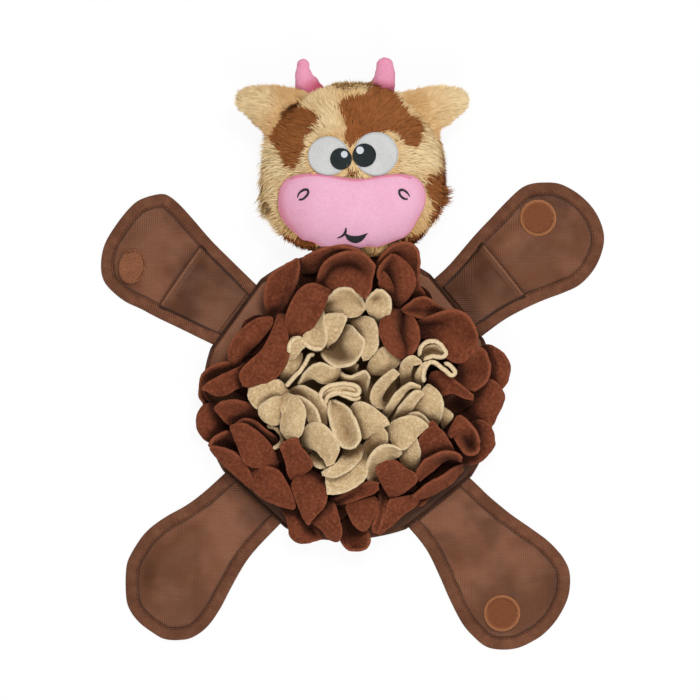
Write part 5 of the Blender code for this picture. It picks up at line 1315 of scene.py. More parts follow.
EYES = {
    "left": {"white": (328.5, 156), "white_radii": (20.7, 19.8), "pupil": (341, 159), "pupil_radius": 10.9,
             "glint": (344.3, 154.5), "glint_radius": 3.4},
    "right": {"white": (376, 154), "white_radii": (22.4, 22.0), "pupil": (364.3, 155.4), "pupil_radius": 11.8,
              "glint": (360, 150.4), "glint_radius": 3.8},
}
MUZZLE_OUTLINE = [(278, 200), (280, 188), (287, 179), (298, 175), (312, 173.5), (327, 174.5), (340.5, 177),
                  (356, 179), (370, 177.5), (386, 175), (401, 174), (414, 176.5), (422, 183), (425.5, 193),
                  (424.5, 206), (418, 219), (411, 231), (402, 238.5), (393, 241), (386, 244), (377, 247), (368, 246),
                  (358, 248.5), (347, 245.5), (337, 246.5), (328, 249), (319, 245.5), (311, 241), (303, 240),
                  (294, 232), (284, 222), (279, 211)]
BROWN_PATCHES = [
    [(285, 109), (297.5, 107), (313, 112), (318, 117), (315, 123), (306, 136), (303, 150), (297.5, 166),
     (294, 171), (288, 169), (282, 162), (277, 150), (272, 142), (266.5, 138), (266, 133), (270, 124),
     (275, 117)],
    [(340.5, 98.5), (354, 96), (366, 95), (371.5, 90), (378, 87), (389, 90), (397, 97), (404, 107), (408, 114),
     (418, 121), (424, 129.5), (423, 142), (416, 148), (406, 145), (399, 136), (392, 131), (380, 131),
     (366, 135), (356, 142), (348, 145), (343, 136), (347, 126), (342, 117.5), (339, 109)],
    [(427, 177), (436, 175), (440, 172), (441, 160), (447, 160), (453, 180), (455, 200), (448, 213),
     (438, 224), (431, 226), (426, 220), (431, 212), (433, 204), (427, 196), (425, 186)],
    [(255, 176), (261, 176), (263, 186), (256, 190)],
    [(283, 230), (296, 238), (316, 243), (318, 254), (295, 258), (278, 240)],
    [(398, 244), (412, 234), (424, 230), (428, 240), (410, 256), (398, 254)],
    [(346, 174), (358, 174), (356, 181), (348, 181)],
]
PILE_LENGTH = 8.0 * MM
SKIN_INSET = 4.6 * MM


def head_radius(angle):
    power = np.where(np.sin(angle) > 0, 2.05, 2.45)
    wide = np.abs(np.cos(angle)) / HEAD_HALF_WIDTH
    long = np.abs(np.sin(angle)) / HEAD_HALF_LENGTH
    return (wide ** power + long ** power) ** (-1 / power)


def head_share(points):
    offset = np.asarray(points)[..., :2] - np.array(HEAD_CENTRE)[:2]
    angle = np.arctan2(offset[..., 1], offset[..., 0])
    return np.minimum(np.linalg.norm(offset, axis=-1) / head_radius(angle), 1)


def head_front(points):
    """The height of the fur's front over places on the floor."""
    return HEAD_MIDDLE + HEAD_FRONT * np.maximum(1 - head_share(points) ** 2, 0) ** 0.58


def on_head(column, row, lift=0.0):
    """The point of the fur's front that the camera shows at a pixel."""
    height = HEAD_MIDDLE + HEAD_FRONT
    for attempt in range(6):
        point = spot(column, row, height)
        height = float(head_front(point))
    point = spot(column, row, height + lift)
    return point


def inside(outline, column, row):
    """Which pixels lie inside an outline."""
    column = np.asarray(column)
    row = np.asarray(row)
    hit = np.zeros(column.shape, bool)
    for (x1, y1), (x2, y2) in zip(outline, outline[1:] + outline[:1]):
        crosses = (y1 > row) != (y2 > row)
        edge = (x2 - x1) * (row - y1) / ((y2 - y1) or 1e-9) + x1
        hit ^= crosses & (column < edge)
    return hit


def eye_share(column, row, grow=0.0):
    """How far a pixel is from the nearer eye's centre, where 1 is its edge."""
    shares = []
    for eye in EYES.values():
        (u, v), (ru, rv) = eye["white"], eye["white_radii"]
        shares.append(np.hypot((column - u) / (ru + grow), (row - v) / (rv + grow)))
    return np.minimum(*shares)


def skin_grid(rows=56, columns=112):
    """The head's backing cloth, under its fur: rows from the front's middle to the back's."""
    turned = np.linspace(0.02, math.pi - 0.02, rows)
    angles = np.linspace(0, math.tau, columns)
    share = np.sin(turned)
    front = turned < math.pi / 2
    depth = np.where(front, HEAD_FRONT * np.maximum(1 - share ** 2, 0) ** 0.58,
                     -HEAD_BACK * np.maximum(1 - share ** 2.4, 0) ** 0.55)
    radius = head_radius(angles)[None, :] * share[:, None]
    x = HEAD_CENTRE.x + radius * np.cos(angles)
    y = HEAD_CENTRE.y + radius * np.sin(angles)
    grid = np.stack([x, y, np.broadcast_to(HEAD_MIDDLE + depth[:, None], x.shape)], axis=2)
    middle = np.array((HEAD_CENTRE.x, HEAD_CENTRE.y, HEAD_MIDDLE))
    outward = grid - middle
    outward = outward / np.array((HEAD_HALF_WIDTH, HEAD_HALF_LENGTH, HEAD_FRONT)) ** 1.6
    outward = outward / np.linalg.norm(outward, axis=2, keepdims=True)
    column, row = pixel_of(grid)
    near_eye = smooth((1.35 - eye_share(column, row)) / 0.3) * (grid[..., 2] > HEAD_MIDDLE)
    inset = SKIN_INSET - (SKIN_INSET - 1.4 * MM) * near_eye
    floor_side = smooth((HEAD_MIDDLE - grid[..., 2]) / (20 * MM))
    inset = inset * (1 - 0.55 * floor_side)
    grid = grid - outward * inset[..., None]
    return grid, outward


def outline_distance(outline, column, row):
    """How far pixels are from an outline."""
    points = np.stack([np.ravel(column), np.ravel(row)], axis=1)
    best = np.full(len(points), 1e3)
    for start, end in zip(np.array(outline), np.roll(outline, -1, axis=0)):
        run = end - start
        share = np.clip((points - start) @ run / np.dot(run, run), 0, 1)
        best = np.minimum(best, np.linalg.norm(points - start - share[:, None] * run, axis=1))
    return best


def fur_warmth(column, row):
    """Golden fur round the brown patches, the muzzle and the eyes."""
    warm = 0.35 * np.exp(-(outline_distance(MUZZLE_OUTLINE, column, row) / 5) ** 2)
    for outline in BROWN_PATCHES:
        warm = np.maximum(warm, 0.5 * np.exp(-(outline_distance(outline, column, row) / 4) ** 2))
    warm = np.maximum(warm, 0.3 * smooth((1.5 - eye_share(column, row)) / 0.4))
    low = smooth((row - 205) / 40) * 0.6 + 0.5 * smooth((row - 238) / 8)
    return warm + low


def patch_mask(points):
    """Where the fur is brown: the patches, with ragged edges."""
    column, row = pixel_of(points)
    shake = random.normal(0, 1.1, column.shape)
    shake_down = random.normal(0, 1.1, column.shape)
    hit = np.zeros(column.shape, bool)
    thin = random.random(column.shape) < 0.04 + 0.26 * smooth((row - 203) / 22)
    for number, outline in enumerate(BROWN_PATCHES):
        brown = inside(outline, column + shake, row + shake_down)
        hit |= brown & ~thin if number == 2 else brown
    return hit & (points[..., 2] > HEAD_MIDDLE - 12 * MM)


def back_patch(points):
    """A plain brown patch on the back of the head."""
    offset = points[..., :2] - np.array((HEAD_CENTRE.x + 18 * MM, HEAD_CENTRE.y + 12 * MM))
    wobble = 4 * MM * np.sin(np.arctan2(offset[..., 1], offset[..., 0]) * 3)
    return (np.linalg.norm(offset, axis=-1) + wobble < 24 * MM) & (points[..., 2] < HEAD_MIDDLE - 8 * MM)


def sample_surface(grid, outward, count, weight=None):
    """Random points over a grid's faces, with their outward directions."""
    a = grid[:-1, :-1]
    b = grid[1:, :-1]
    c = grid[:-1, 1:]
    area = np.linalg.norm(np.cross(b - a, c - a), axis=2)
    if weight is not None:
        area = area * weight[:-1, :-1]
    chance = (area / area.sum()).ravel()
    chosen = random.choice(len(chance), count, p=chance)
    row, column = np.divmod(chosen, area.shape[1])
    u = random.random(count)[:, None]
    v = random.random(count)[:, None]

    def at(values):
        first = values[row, column] * (1 - u) + values[row + 1, column] * u
        second = values[row, column + 1] * (1 - u) + values[row + 1, column + 1] * u
        return first * (1 - v) + second * v
    points = at(grid)
    directions = at(outward)
    return points, directions / np.linalg.norm(directions, axis=1, keepdims=True)


def unit(vectors):
    return vectors / np.maximum(np.linalg.norm(vectors, axis=-1, keepdims=True), 1e-9)


def clump_tips(roots, tips, size, pull):
    """Draws neighbouring tips together into tufts."""
    count = max(int(len(roots) / size), 1)
    chosen = random.choice(len(roots), count, replace=False)
    tree = kdtree.KDTree(count)
    for index, root in enumerate(chosen):
        tree.insert(roots[root], index)
    tree.balance()
    owner = np.array([tree.find(root)[1] for root in roots])
    target = tips[chosen][owner]
    amount = pull * random.uniform(0.5, 1.0, len(roots))[:, None]
    return tips + (target - tips) * amount, owner


def make_locks(name, roots, normals, comb, lengths, width, finish, lift=0.5, size=18, pull=0.35, warmth=0.0):
    """Fur as flat tapering blades, bent the way they are combed, lit like the cloth under them."""
    jitter = random.normal(0, 0.13, roots.shape)
    rise = unit(normals * lift + comb * (1 - lift) + jitter)
    lay = unit(normals * lift * 0.35 + comb + jitter * 1.3)
    middles = roots + rise * lengths[:, None] * 0.5
    tips = middles + lay * lengths[:, None] * 0.55
    tips, owner = clump_tips(roots, tips, size, pull)
    middles = middles + (tips - middles) * 0.06
    starts = roots - normals * 0.8 * MM
    sideways = unit(np.cross(tips - roots, normals) + random.normal(0, 0.3, roots.shape) * lengths[:, None])
    wide = (width * random.uniform(0.7, 1.3, len(roots)))[:, None] / 2
    vertices = np.stack([starts - sideways * wide, starts + sideways * wide, middles + sideways * wide * 0.85,
                         middles - sideways * wide * 0.85, tips], axis=1)
    vertices[..., 2] = np.maximum(vertices[..., 2], 0.1 * MM)
    level = np.clip(normals[:, 2:], 0, 1)
    lifted = unit(normals + np.array((0, 0, 1)) * (0.9 - 0.5 * level) * (normals[:, 2:] > -0.3))
    base = np.arange(len(roots)) * 5
    quads = np.stack([base, base + 1, base + 2, base + 3], axis=1)
    points = np.stack([base + 3, base + 2, base + 4], axis=1)
    wall = np.cross(vertices[:, 1] - vertices[:, 0], vertices[:, 2] - vertices[:, 1])
    wall += np.cross(vertices[:, 2] - vertices[:, 3], vertices[:, 4] - vertices[:, 2])
    turned = np.sum(wall * lifted, axis=1) < 0
    quads[turned] = quads[turned][:, ::-1]
    points[turned] = points[turned][:, ::-1]
    mesh = bpy.data.meshes.new(name)
    mesh.from_pydata(vertices.reshape(-1, 3).tolist(), [], quads.tolist() + points.tolist())
    mesh.materials.append(finishes[finish])
    shade = random.uniform(-0.15, 0.15, len(roots)) + random.uniform(-0.12, 0.12, owner.max() + 1)[owner]
    tone = np.stack([0.25 + shade] * 2 + [0.7 + shade] * 2 + [1.0 + shade], axis=1)
    drift = np.array([noise.noise(Vector(root) * 55) for root in roots]) * 1.3
    hue = random.uniform(-0.1, 0.3, owner.max() + 1)[owner] + random.uniform(-0.1, 0.1, len(roots))
    hue = hue + drift * 0.5 + warmth
    for label, values in (("tone", np.clip(tone, 0, 1)), ("hue", np.repeat(np.clip(hue, 0, 1)[:, None], 5, axis=1))):
        layer = mesh.attributes.new(label, "FLOAT", "POINT")
        layer.data.foreach_set("value", values.astype(np.float32).ravel())
    mesh.shade_smooth()
    shading = unit(lifted[:, None] + random.normal(0, 0.14, (len(roots), 1, 3)) + np.zeros((1, 5, 1)))
    mesh.normals_split_custom_set_from_vertices(shading.reshape(-1, 3).tolist())
    made = bpy.data.objects.new(name, mesh)
    bpy.context.scene.collection.objects.link(made)
    return made


def make_skin():
    grid, outward = skin_grid()
    rows, columns = grid.shape[:2]
    vertices = [tuple(point) for point in grid[:, :-1].reshape(-1, 3)]
    width = columns - 1
    faces = []
    for row in range(rows - 1):
        for column in range(width):
            after = (column + 1) % width
            faces.append((row * width + column, row * width + after,
                          (row + 1) * width + after, (row + 1) * width + column))
    faces.append(tuple(range(width)))
    faces.append(tuple(range((rows - 1) * width, rows * width)))
    skin = mesh_object("head_cover", vertices, faces, "cream_skin")
    skin.data.materials.append(finishes["brown_skin"])
    centres = np.array([face.center for face in skin.data.polygons])
    brown = patch_mask(centres) | back_patch(centres)
    for face, dark in zip(skin.data.polygons, brown):
        face.material_index = int(dark)
    settle(skin, "head", "fur", "head_front_cover", "head_back_cover", "head_stuffing")
    return grid, outward


def make_head_fur(grid, outward):
    front = grid[..., 2] > HEAD_MIDDLE - 14 * MM
    for part, count, mask in (("front", 44000, front), ("back", 12000, ~front)):
        roots, normals = sample_surface(grid, outward, count, mask.astype(float))
        column, row = pixel_of(roots)
        fore = roots[:, 2] > HEAD_MIDDLE
        covered = (eye_share(column, row) < 0.96) & fore
        covered |= inside(shrunk(MUZZLE_OUTLINE, 0.955), column, row) & fore
        keep = ~covered
        roots, normals, column, row, fore = roots[keep], normals[keep], column[keep], row[keep], fore[keep]
        bridge = spot(352, 166)
        away = unit((roots - bridge) * np.array((1, 1, 0)) + np.array((0, -6 * MM, 0)))
        swirl = np.array([noise.noise_vector(Vector(root) * 38) for root in roots])
        comb = away + swirl * 0.45
        comb = unit(comb - normals * np.sum(comb * normals, axis=1, keepdims=True))
        share = head_share(roots)
        beside = np.exp(-((row - 198) / 14) ** 2) * smooth((share - 0.8) / 0.2) * fore
        leftward = smooth((300 - column) / 20) * smooth((share - 0.8) / 0.2) * fore
        comb = unit(comb + normals * (0.75 * beside + 0.3 * leftward)[:, None])
        near_face = smooth((1.5 - eye_share(column, row)) / 0.5)
        low = smooth((share - 0.75) / 0.25)
        lengths = PILE_LENGTH * (0.85 + 0.35 * low) * (1 - 0.35 * near_face)
        lengths = lengths * random.uniform(0.75, 1.2, len(roots))
        under = smooth((HEAD_MIDDLE - 8 * MM - roots[:, 2]) / (14 * MM))
        lengths = lengths * (1 - 0.45 * under)
        lengths = lengths * (1 + 0.75 * beside + 0.5 * leftward)
        chin = smooth((roots[:, 1] * -1 + HEAD_CENTRE.y - 0.74 * HEAD_HALF_LENGTH) / (8 * MM))
        lengths = lengths * (1 - 0.35 * chin)
        middle = roots + comb * lengths[:, None] * 0.75
        brown = patch_mask(middle) | back_patch(middle)
        warmth = fur_warmth(*pixel_of(middle)) * fore
        for colour, chosen in (("cream", ~brown), ("brown", brown)):
            if chosen.sum() < 50:
                continue
            made = make_locks(f"head_fur_{part}_{colour}", roots[chosen], normals[chosen], comb[chosen],
                              lengths[chosen], 0.75 * MM, f"{colour}_fur", 0.4, warmth=warmth[chosen])
            settle(made, "head", "fur")


def shrunk(outline, share):
    points = np.array(outline, float)
    middle = points.mean(axis=0)
    return [tuple(point) for point in middle + (points - middle) * share]


def patch_on_head(name, column, row, radii, lift, thickness, finish, slot, nodes, surface, turned=0.0, dome=0.0):
    """A round piece of felt that follows the surface under it."""
    angles = np.linspace(0, math.tau, 48, endpoint=False)
    shares = np.sin(np.linspace(0, 1, 12) * math.pi / 2)
    grid = np.zeros((len(shares), len(angles), 3))
    for i, share in enumerate(shares):
        for j, angle in enumerate(angles):
            u = column + share * (radii[0] * math.cos(angle))
            v = row + share * (radii[1] * math.sin(angle))
            point = surface(u, v)
            point[2] += lift + thickness / 2 + dome * (1 - share ** 2)
            grid[i, j] = point
    size = min(radii) * PIXEL
    edge = (1 - shares)[:, None] * size * np.ones((1, len(angles)))
    half = np.maximum(rounded_half(edge, thickness), 0)
    made = shell(name, grid, half, finish, None, upright(grid), True)
    settle(made, "head", slot, *nodes)
    flat = (2 * radii[0] * PIXEL, 2 * radii[1] * PIXEL)
    return made, flat


def thread_line(name, pixels, radius, finish, slot, nodes, surface, lift, closed=False, widths=None):
    """Raised embroidery along pixels."""
    line = spline(pixels, 40)
    points = np.array([surface(u, v) for u, v in line])
    points[:, 2] += lift
    vertices, faces = tube(points, radius, 8)
    if widths is not None:
        vertices = np.array(vertices)
        for index, width in enumerate(np.interp(np.linspace(0, 1, 40), np.linspace(0, 1, len(widths)), widths)):
            ring = slice(index * 8, index * 8 + 8)
            vertices[ring] = points[index] + (vertices[ring] - points[index]) * width
    made = mesh_object(name, vertices, faces, finish)
    settle(made, "head", slot, *nodes)
    return made


def felt_surface(column, row):
    """The eyes lie just under the fur's front."""
    return on_head(column, row, -0.9 * MM)


def make_eyes():
    for side, eye in EYES.items():
        radii = eye["white_radii"]
        white, flat = patch_on_head(f"eye_{side}_white", *eye["white"], radii, 0, 1.2 * MM, "white_felt",
                                    "white_felt", (f"eye_white_{side}",), felt_surface)
        ring = []
        for angle in np.linspace(0, math.tau, 17):
            ring.append((eye["white"][0] + radii[0] * 0.95 * math.cos(angle),
                         eye["white"][1] + radii[1] * 0.95 * math.sin(angle)))
        thread_line(f"eye_{side}_edge", ring, 0.45 * MM, "rim_felt", "white_felt", (), felt_surface, 1.25 * MM)
        radius = eye["pupil_radius"]
        pupil, flat = patch_on_head(f"eye_{side}_pupil", *eye["pupil"], (radius, radius), 1.25 * MM, 0.9 * MM,
                                    "dark_felt", "dark_felt", (f"pupil_{side}",), felt_surface)
        radius = eye["glint_radius"]
        patch_on_head(f"eye_{side}_glint", *eye["glint"], (radius, radius), 2.2 * MM, 0.6 * MM,
                      "pale_thread", "pale_thread", (f"eye_glint_{side}",), felt_surface)


MUZZLE_MIDDLE = (351, 211)
muzzle_dense = spline(MUZZLE_OUTLINE + [MUZZLE_OUTLINE[0]], 200)


def muzzle_reach(column, row):
    """The share of the way from the muzzle's middle to its edge."""
    offset = np.array((column - MUZZLE_MIDDLE[0], row - MUZZLE_MIDDLE[1]))
    outline = muzzle_dense - np.array(MUZZLE_MIDDLE)
    angles = np.arctan2(outline[:, 1], outline[:, 0])
    order = np.argsort(angles)
    reach = np.interp(math.atan2(offset[1], offset[0]), angles[order],
                      np.linalg.norm(outline, axis=1)[order], period=math.tau)
    return min(float(np.linalg.norm(offset)) / reach, 1.0)


def muzzle_puff(share, column, row):
    """How far the velour stands over the fur's front."""
    puff = 6.5 * MM * max(1 - share ** 3.0, 0) ** 0.55
    crease = noise.noise(Vector((column * 0.045, row * 0.06, 2.5)))
    lower = max(row - MUZZLE_MIDDLE[1], 0) / 37
    tuck = 1.8 * MM * lower ** 2
    return puff * (1 + 0.10 * crease) - 1.6 * MM - tuck


def muzzle_surface(column, row):
    share = muzzle_reach(column, row)
    lift = muzzle_puff(share, column, row)
    return on_head(column, row, lift)


def make_muzzle():
    shares = np.sin(np.linspace(0, 1, 30) * math.pi / 2)
    outline = spline(MUZZLE_OUTLINE + [MUZZLE_OUTLINE[0]], 121)[:-1]
    middle = np.array(MUZZLE_MIDDLE)
    grid = np.zeros((len(shares), len(outline), 3))
    for i, share in enumerate(shares):
        for j, edge in enumerate(outline):
            u, v = middle + (edge - middle) * share
            grid[i, j] = muzzle_surface(u, v)
    base = grid.copy()
    for i, share in enumerate(shares):
        base[i, :, 2] = head_front(grid[i]) - 3.4 * MM
    over = grid
    half = np.maximum((over[..., 2] - base[..., 2]) / 2, 0.4 * MM)
    centre = (over + base) / 2
    centre[..., 2] = over[..., 2] - half
    column, row = pixel_of(centre)
    # painted shade: darker towards the muzzle's edge, more on its left, and over its lower left
    painted_shade = smooth((shares - 0.86) / 0.14)[:, None] * (0.3 + 0.35 * smooth((310 - column) / 25))
    painted_shade = painted_shade + 0.45 * smooth((330 - column) / 60) * smooth((row - 180) / 50) * smooth((shares - 0.2) / 0.6)[:, None]
    made = shell("muzzle_velour", centre, half, "velour", {"painted_shade": np.clip(painted_shade, 0, 1)}, upright(centre), True)
    settle(made, "head", "velour", "muzzle")
    rim = thread_line("muzzle_edge", outline_pixels(0.992), 0.4 * MM, "velour_rim", "velour", (), muzzle_surface, 0)
    top = [(291, 179), (298, 176.8), (312, 175.2), (327, 176.3), (340, 178.6), (356, 180.6), (370, 179), (386, 176.6),
           (400, 175.6), (411, 178)]
    thread_line("muzzle_top_stitch", top, 0.5 * MM, "velour_rim", "velour", (), muzzle_surface, 0.3 * MM)
    return rim


def outline_pixels(share):
    points = np.array(MUZZLE_OUTLINE + [MUZZLE_OUTLINE[0]], float)
    middle = np.array(MUZZLE_MIDDLE)
    return [tuple(point) for point in middle + (points - middle) * share]


def make_mouth():
    nostril = {"left": [(297.5, 197.5), (299, 193.5), (303, 190.2), (307.3, 189.8), (308.3, 192.6), (306.3, 196.2),
                        (302.6, 199.2), (299.2, 199.8)],
               "right": [(409.6, 196.4), (407.4, 193), (403.6, 190.2), (399.8, 190.4), (399.4, 193.6),
                         (401.6, 197), (405, 199), (407.4, 199)]}
    for side, pixels in nostril.items():
        thread_line(f"nostril_thread_{side}", pixels, 0.75 * MM, "black_thread", "black_thread",
                    (f"nostril_{side}",), muzzle_surface, 0.25 * MM, widths=(0.5, 0.95, 1.15, 1.15, 1.05, 0.8))
    thread_line("mouth_corner", [(337.5, 238), (342, 236), (345.3, 232.5), (346, 228)], 0.85 * MM, "black_thread",
                "black_thread", (), muzzle_surface, 0.25 * MM, widths=(0.5, 0.9, 1.2, 0.6))
    upper = spline([(344, 232.5), (350, 235.5), (358, 236), (368, 233.2)], 25)
    lower = spline([(344, 232.5), (347.5, 239.5), (355, 243), (362, 240.5), (368, 233.2)], 25)
    grid = np.zeros((9, 25, 3))
    for i, share in enumerate(np.linspace(0, 1, 9)):
        for j in range(25):
            grid[i, j] = muzzle_surface(*(upper[j] * (1 - share) + lower[j] * share))
    half = np.full((9, 25), 0.4 * MM) * np.sin(np.linspace(0, math.pi, 25))[None, :] ** 0.3
    half = half * np.sin(np.linspace(0.25, math.pi - 0.25, 9))[:, None] ** 0.4
    grid[..., 2] += 0.3 * MM
    mouth = shell("mouth_thread", grid, half, "black_thread")
    settle(mouth, "head", "black_thread", "mouth")


def make_horn(side, centre_line, widths):
    """A stuffed velour horn: oval sections along a line of pixels."""
    rise = np.linspace(-9 * MM, 2 * MM, len(centre_line))
    line = spline([spot(*pixel, HEAD_MIDDLE + up) for pixel, up in zip(centre_line, rise)], 22)
    halves = np.interp(np.linspace(0, 1, 22), np.linspace(0, 1, len(widths)), widths) * PIXEL / 2
    from_tip = np.linspace(1, 0, 22)
    rounding = np.sqrt(np.clip(1 - (1 - np.clip(from_tip / 0.16, 0, 1)) ** 2, 0, 1))
    vertices = []
    sides = 24
    for index, (point, half, blunt) in enumerate(zip(line, halves, rounding)):
        run = line[min(index + 1, 21)] - line[max(index - 1, 0)]
        run = run / np.linalg.norm(run)
        aside = np.array((run[1], -run[0], 0))
        pinch = 1 + 0.03 * math.sin(index * 1.1)
        for step in range(sides):
            angle = math.tau * step / sides
            vertices.append(point + aside * half * blunt * pinch * math.cos(angle)
                            + np.array((0, 0, 1)) * half * 0.72 * blunt * pinch * math.sin(angle))
    faces = []
    for index in range(21):
        for step in range(sides):
            after = (step + 1) % sides
            faces.append((index * sides + step, index * sides + after,
                          (index + 1) * sides + after, (index + 1) * sides + step))
    faces.append(tuple(range(sides)))
    # painted shade: darker towards the horn's base and on one side
    turned = np.tile(np.arange(sides) * math.tau / sides, 22)
    painted_shade = np.repeat(smooth((from_tip - 0.45) / 0.5), sides) * (0.75 + 0.25 * np.cos(turned))
    made = mesh_object(f"horn_{side}_velour", vertices, faces, "rose_velour", {"painted_shade": painted_shade})
    settle(made, "head", "rose_velour", f"horn_{side}")


def make_ear(side, upper, lower):
    """A stuffed ear between its upper and lower edge, from root to tip, with its fur combed outward."""
    body = f"ear_{side}"
    rows_at = 1 - (1 - np.linspace(0, 1, 22)) ** 1.6
    across = np.sin(np.linspace(-1, 1, 21) * math.pi / 2)
    first = spline([spot(*pixel, HEAD_MIDDLE) for pixel in upper], 22, rows_at)
    second = spline([spot(*pixel, HEAD_MIDDLE) for pixel in lower], 22, rows_at)
    grid = (first[:, None] * (1 - across)[None, :, None] + second[:, None] * (1 + across)[None, :, None]) / 2
    width = np.linalg.norm(first - second, axis=1)
    forward = unit(grid[-1, 10] - grid[0, 10])
    length = float(np.linalg.norm(grid[-1, 10] - grid[0, 10]))
    grid[..., 2] += (3 * MM * rows_at ** 2)[:, None] - 2.0 * MM * (1 - across ** 2)[None, :] * (1 - rows_at)[:, None]
    thick = np.interp(rows_at, (0, 0.25, 0.8, 1), (3.0, 8.5, 7.0, 5.0)) * MM
    edge = np.minimum((1 - np.abs(across))[None, :] * width[:, None] / 2, ((1 - rows_at) * length)[:, None])
    half = np.minimum(np.sqrt(np.maximum(edge, 0) / (4 * MM)), 1) * thick[:, None] / 2
    normals = upright(grid)
    skin = shell(f"ear_{side}_cover", grid, half, "cream_skin", None, normals)
    pieces = [skin]
    aside = unit(second - first)[:, None]
    for face, sign, count in (("front", 1, 6500), ("back", -1, 3500)):
        surface = grid + normals * half[..., None] * sign
        outward = unit(normals * sign + across[None, :, None] * aside * 0.8
                       + (rows_at ** 3)[:, None, None] * forward * 0.7)
        roots, directions = sample_surface(surface, outward, count)
        swirl = np.array([noise.noise_vector(Vector(point) * 45) for point in roots])
        comb = forward + swirl * 0.55 + directions * np.array((0.35, 0.35, 0))
        comb = unit(comb - directions * np.sum(comb * directions, axis=1, keepdims=True) * 0.5)
        lengths = 7.0 * MM * random.uniform(0.7, 1.2, len(roots))
        from_root = (roots - grid[0, 10]) @ forward / length
        warmth = 0.75 * np.exp(-(from_root / 0.42) ** 2)
        pieces.append(make_locks(f"ear_{side}_fur_{face}", roots, directions, comb, lengths, 0.75 * MM,
                                 "cream_fur", 0.4, warmth=warmth))
    for piece in pieces:
        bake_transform(piece)
    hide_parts(body)


def make_neck():
    """The strap under the chin, from the disc's seam to the back of the head."""
    low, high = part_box("neck_tab")
    rows, columns = 14, 15
    along = np.linspace(0, 1, rows)
    across = np.linspace(-1, 1, columns)
    half_width = (high.x - low.x) / 2 * (1 - 0.2 * along)
    middle = (high.x + low.x) / 2
    x = middle + half_width[:, None] * across[None, :]
    start = low.y - 3 * MM
    y = np.broadcast_to((start + (high.y - start) * along)[:, None], x.shape)
    rise = high.z - low.z - 1.0 * MM
    z = low.z + 0.5 * MM + rise * (along ** 1.4)[:, None] + 0.25 * MM * np.sin(across * 9)[None, :] * along[:, None]
    grid = np.stack([x, y, z], axis=2)
    strap = shell("neck_strap", grid, np.full(x.shape, 0.45 * MM), "nylon", {"cloth_along": y, "cloth_across": x})
    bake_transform(strap)
    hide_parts("neck_tab")


def make_head():
    grid, outward = make_skin()
    make_head_fur(grid, outward)
    make_muzzle()
    make_mouth()
    make_eyes()
    make_horn("left", [(311, 94), (307.5, 86), (304, 77), (303, 68), (304, 58.5)], (31, 27, 20, 14, 12))
    make_horn("right", [(381, 96), (382.8, 86), (384.8, 77), (385, 68), (383.8, 57)], (29, 26, 23, 19, 14))
    make_ear("left", [(310, 98), (300, 95.5), (285, 92.5), (270, 91), (258, 91), (250, 93.5), (245, 97), (243, 102)],
             [(276, 143), (271, 131), (264, 124.5), (257, 117), (252, 112), (247, 108), (244, 105)])
    make_ear("right", [(388, 99), (400, 97), (412, 94.5), (428, 93), (444, 92.5), (454, 93.5), (459, 97),
                       (461, 102)],
             [(432, 143), (433, 130), (441, 123.5), (447, 118.5), (453, 113.5), (458, 109), (461, 105)])
    make_neck()
    squeaker = frame["nodes"]["squeaker"]
    squeaker.data.materials.clear()
    squeaker.data.materials.append(finishes["squeaker"])


# Scene

def seen_rays(tree):
    """1 for what the camera sees, straight or by a reflection, and 0 for the light on the toy."""
    path = tree.nodes.new("ShaderNodeLightPath")
    seen = path.outputs["Is Camera Ray"]
    for kind in ("Is Glossy Ray", "Is Transmission Ray"):
        either = tree.nodes.new("ShaderNodeMath")
        either.operation = "MAXIMUM"
        tree.links.new(seen, either.inputs[0])
        tree.links.new(path.outputs[kind], either.inputs[1])
        seen = either.outputs[0]
    return seen


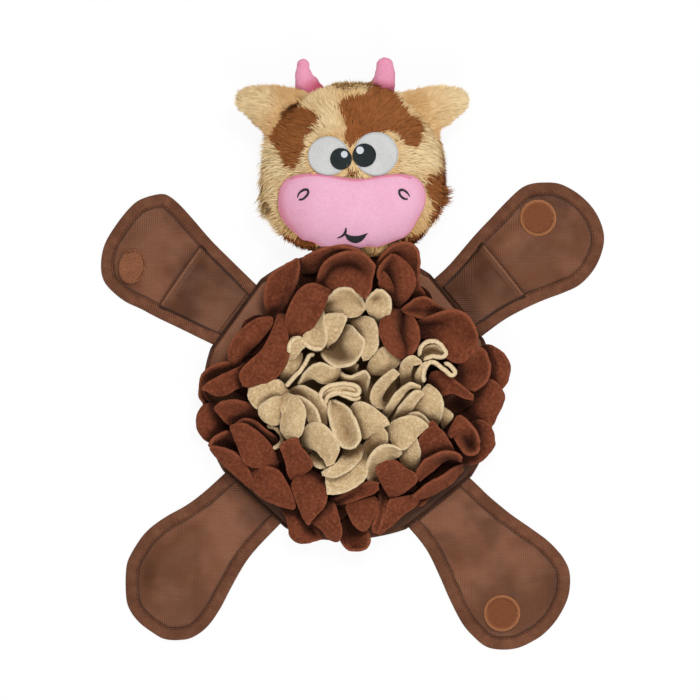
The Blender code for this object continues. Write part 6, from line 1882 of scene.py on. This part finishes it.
def make_floor():
    mesh = bpy.data.meshes.new("floor")
    reach = 6.0
    mesh.from_pydata([(-reach, -reach, 0), (reach, -reach, 0), (reach, reach, 0), (-reach, reach, 0)], [],
                     [(0, 1, 2, 3)])
    floor = bpy.data.objects.new("floor", mesh)
    bpy.context.scene.collection.objects.link(floor)
    material = bpy.data.materials.new("white floor")
    material.use_nodes = True
    tree = material.node_tree
    shader = tree.nodes["Principled BSDF"]
    shader.inputs["Base Color"].default_value = (0.86, 0.86, 0.86, 1)
    shader.inputs["Roughness"].default_value = 1.0
    shader.inputs["Specular IOR Level"].default_value = 0.0
    glow = tree.nodes.new("ShaderNodeEmission")
    glow.inputs["Strength"].default_value = 1.0
    part = tree.nodes.new("ShaderNodeMath")
    part.operation = "MULTIPLY"
    part.inputs[1].default_value = 0.92
    tree.links.new(seen_rays(tree), part.inputs[0])
    mixed = tree.nodes.new("ShaderNodeMixShader")
    tree.links.new(part.outputs[0], mixed.inputs[0])
    tree.links.new(shader.outputs["BSDF"], mixed.inputs[1])
    tree.links.new(glow.outputs["Emission"], mixed.inputs[2])
    tree.links.new(mixed.outputs["Shader"], tree.nodes["Material Output"].inputs["Surface"])
    mesh.materials.append(material)


def make_light(name, place, power, size):
    data = bpy.data.lights.new(name, "AREA")
    data.energy = power
    data.shape = "DISK"
    data.size = size
    lamp = bpy.data.objects.new(name, data)
    bpy.context.scene.collection.objects.link(lamp)
    lamp.location = place
    aim = Vector((0, 0.03, 0)) - Vector(place)
    lamp.rotation_euler = aim.to_track_quat("-Z", "Y").to_euler()


def make_stage():
    make_floor()
    world = bpy.data.worlds.new("studio")
    bpy.context.scene.world = world
    world.use_nodes = True
    back = world.node_tree.nodes["Background"]
    back.inputs["Color"].default_value = (1, 1, 1, 1)
    seen = seen_rays(world.node_tree)
    glow = world.node_tree.nodes.new("ShaderNodeMapRange")
    glow.inputs["To Min"].default_value = 0.46
    glow.inputs["To Max"].default_value = 1.0
    world.node_tree.links.new(seen, glow.inputs["Value"])
    world.node_tree.links.new(glow.outputs["Result"], back.inputs["Strength"])
    make_light("key", (0.3, 0.85, 1.75), 19, 0.6)
    make_light("fill", (0.15, -1.0, 1.6), 14, 1.0)
    data = bpy.data.cameras.new("camera")
    data.sensor_width = 36
    data.lens = 36 * CAMERA_HEIGHT / (PICTURE_SIZE * PIXEL)
    data.clip_end = 20
    camera = bpy.data.objects.new("camera", data)
    bpy.context.scene.collection.objects.link(camera)
    camera.location = (AIM_X, AIM_Y, CAMERA_HEIGHT)
    bpy.context.scene.camera = camera
    bpy.context.scene.view_settings.view_transform = "Standard"


def write_sizes():
    import json


make_stage()
make_body()
make_limbs()
make_petals()
make_head()
write_sizes()
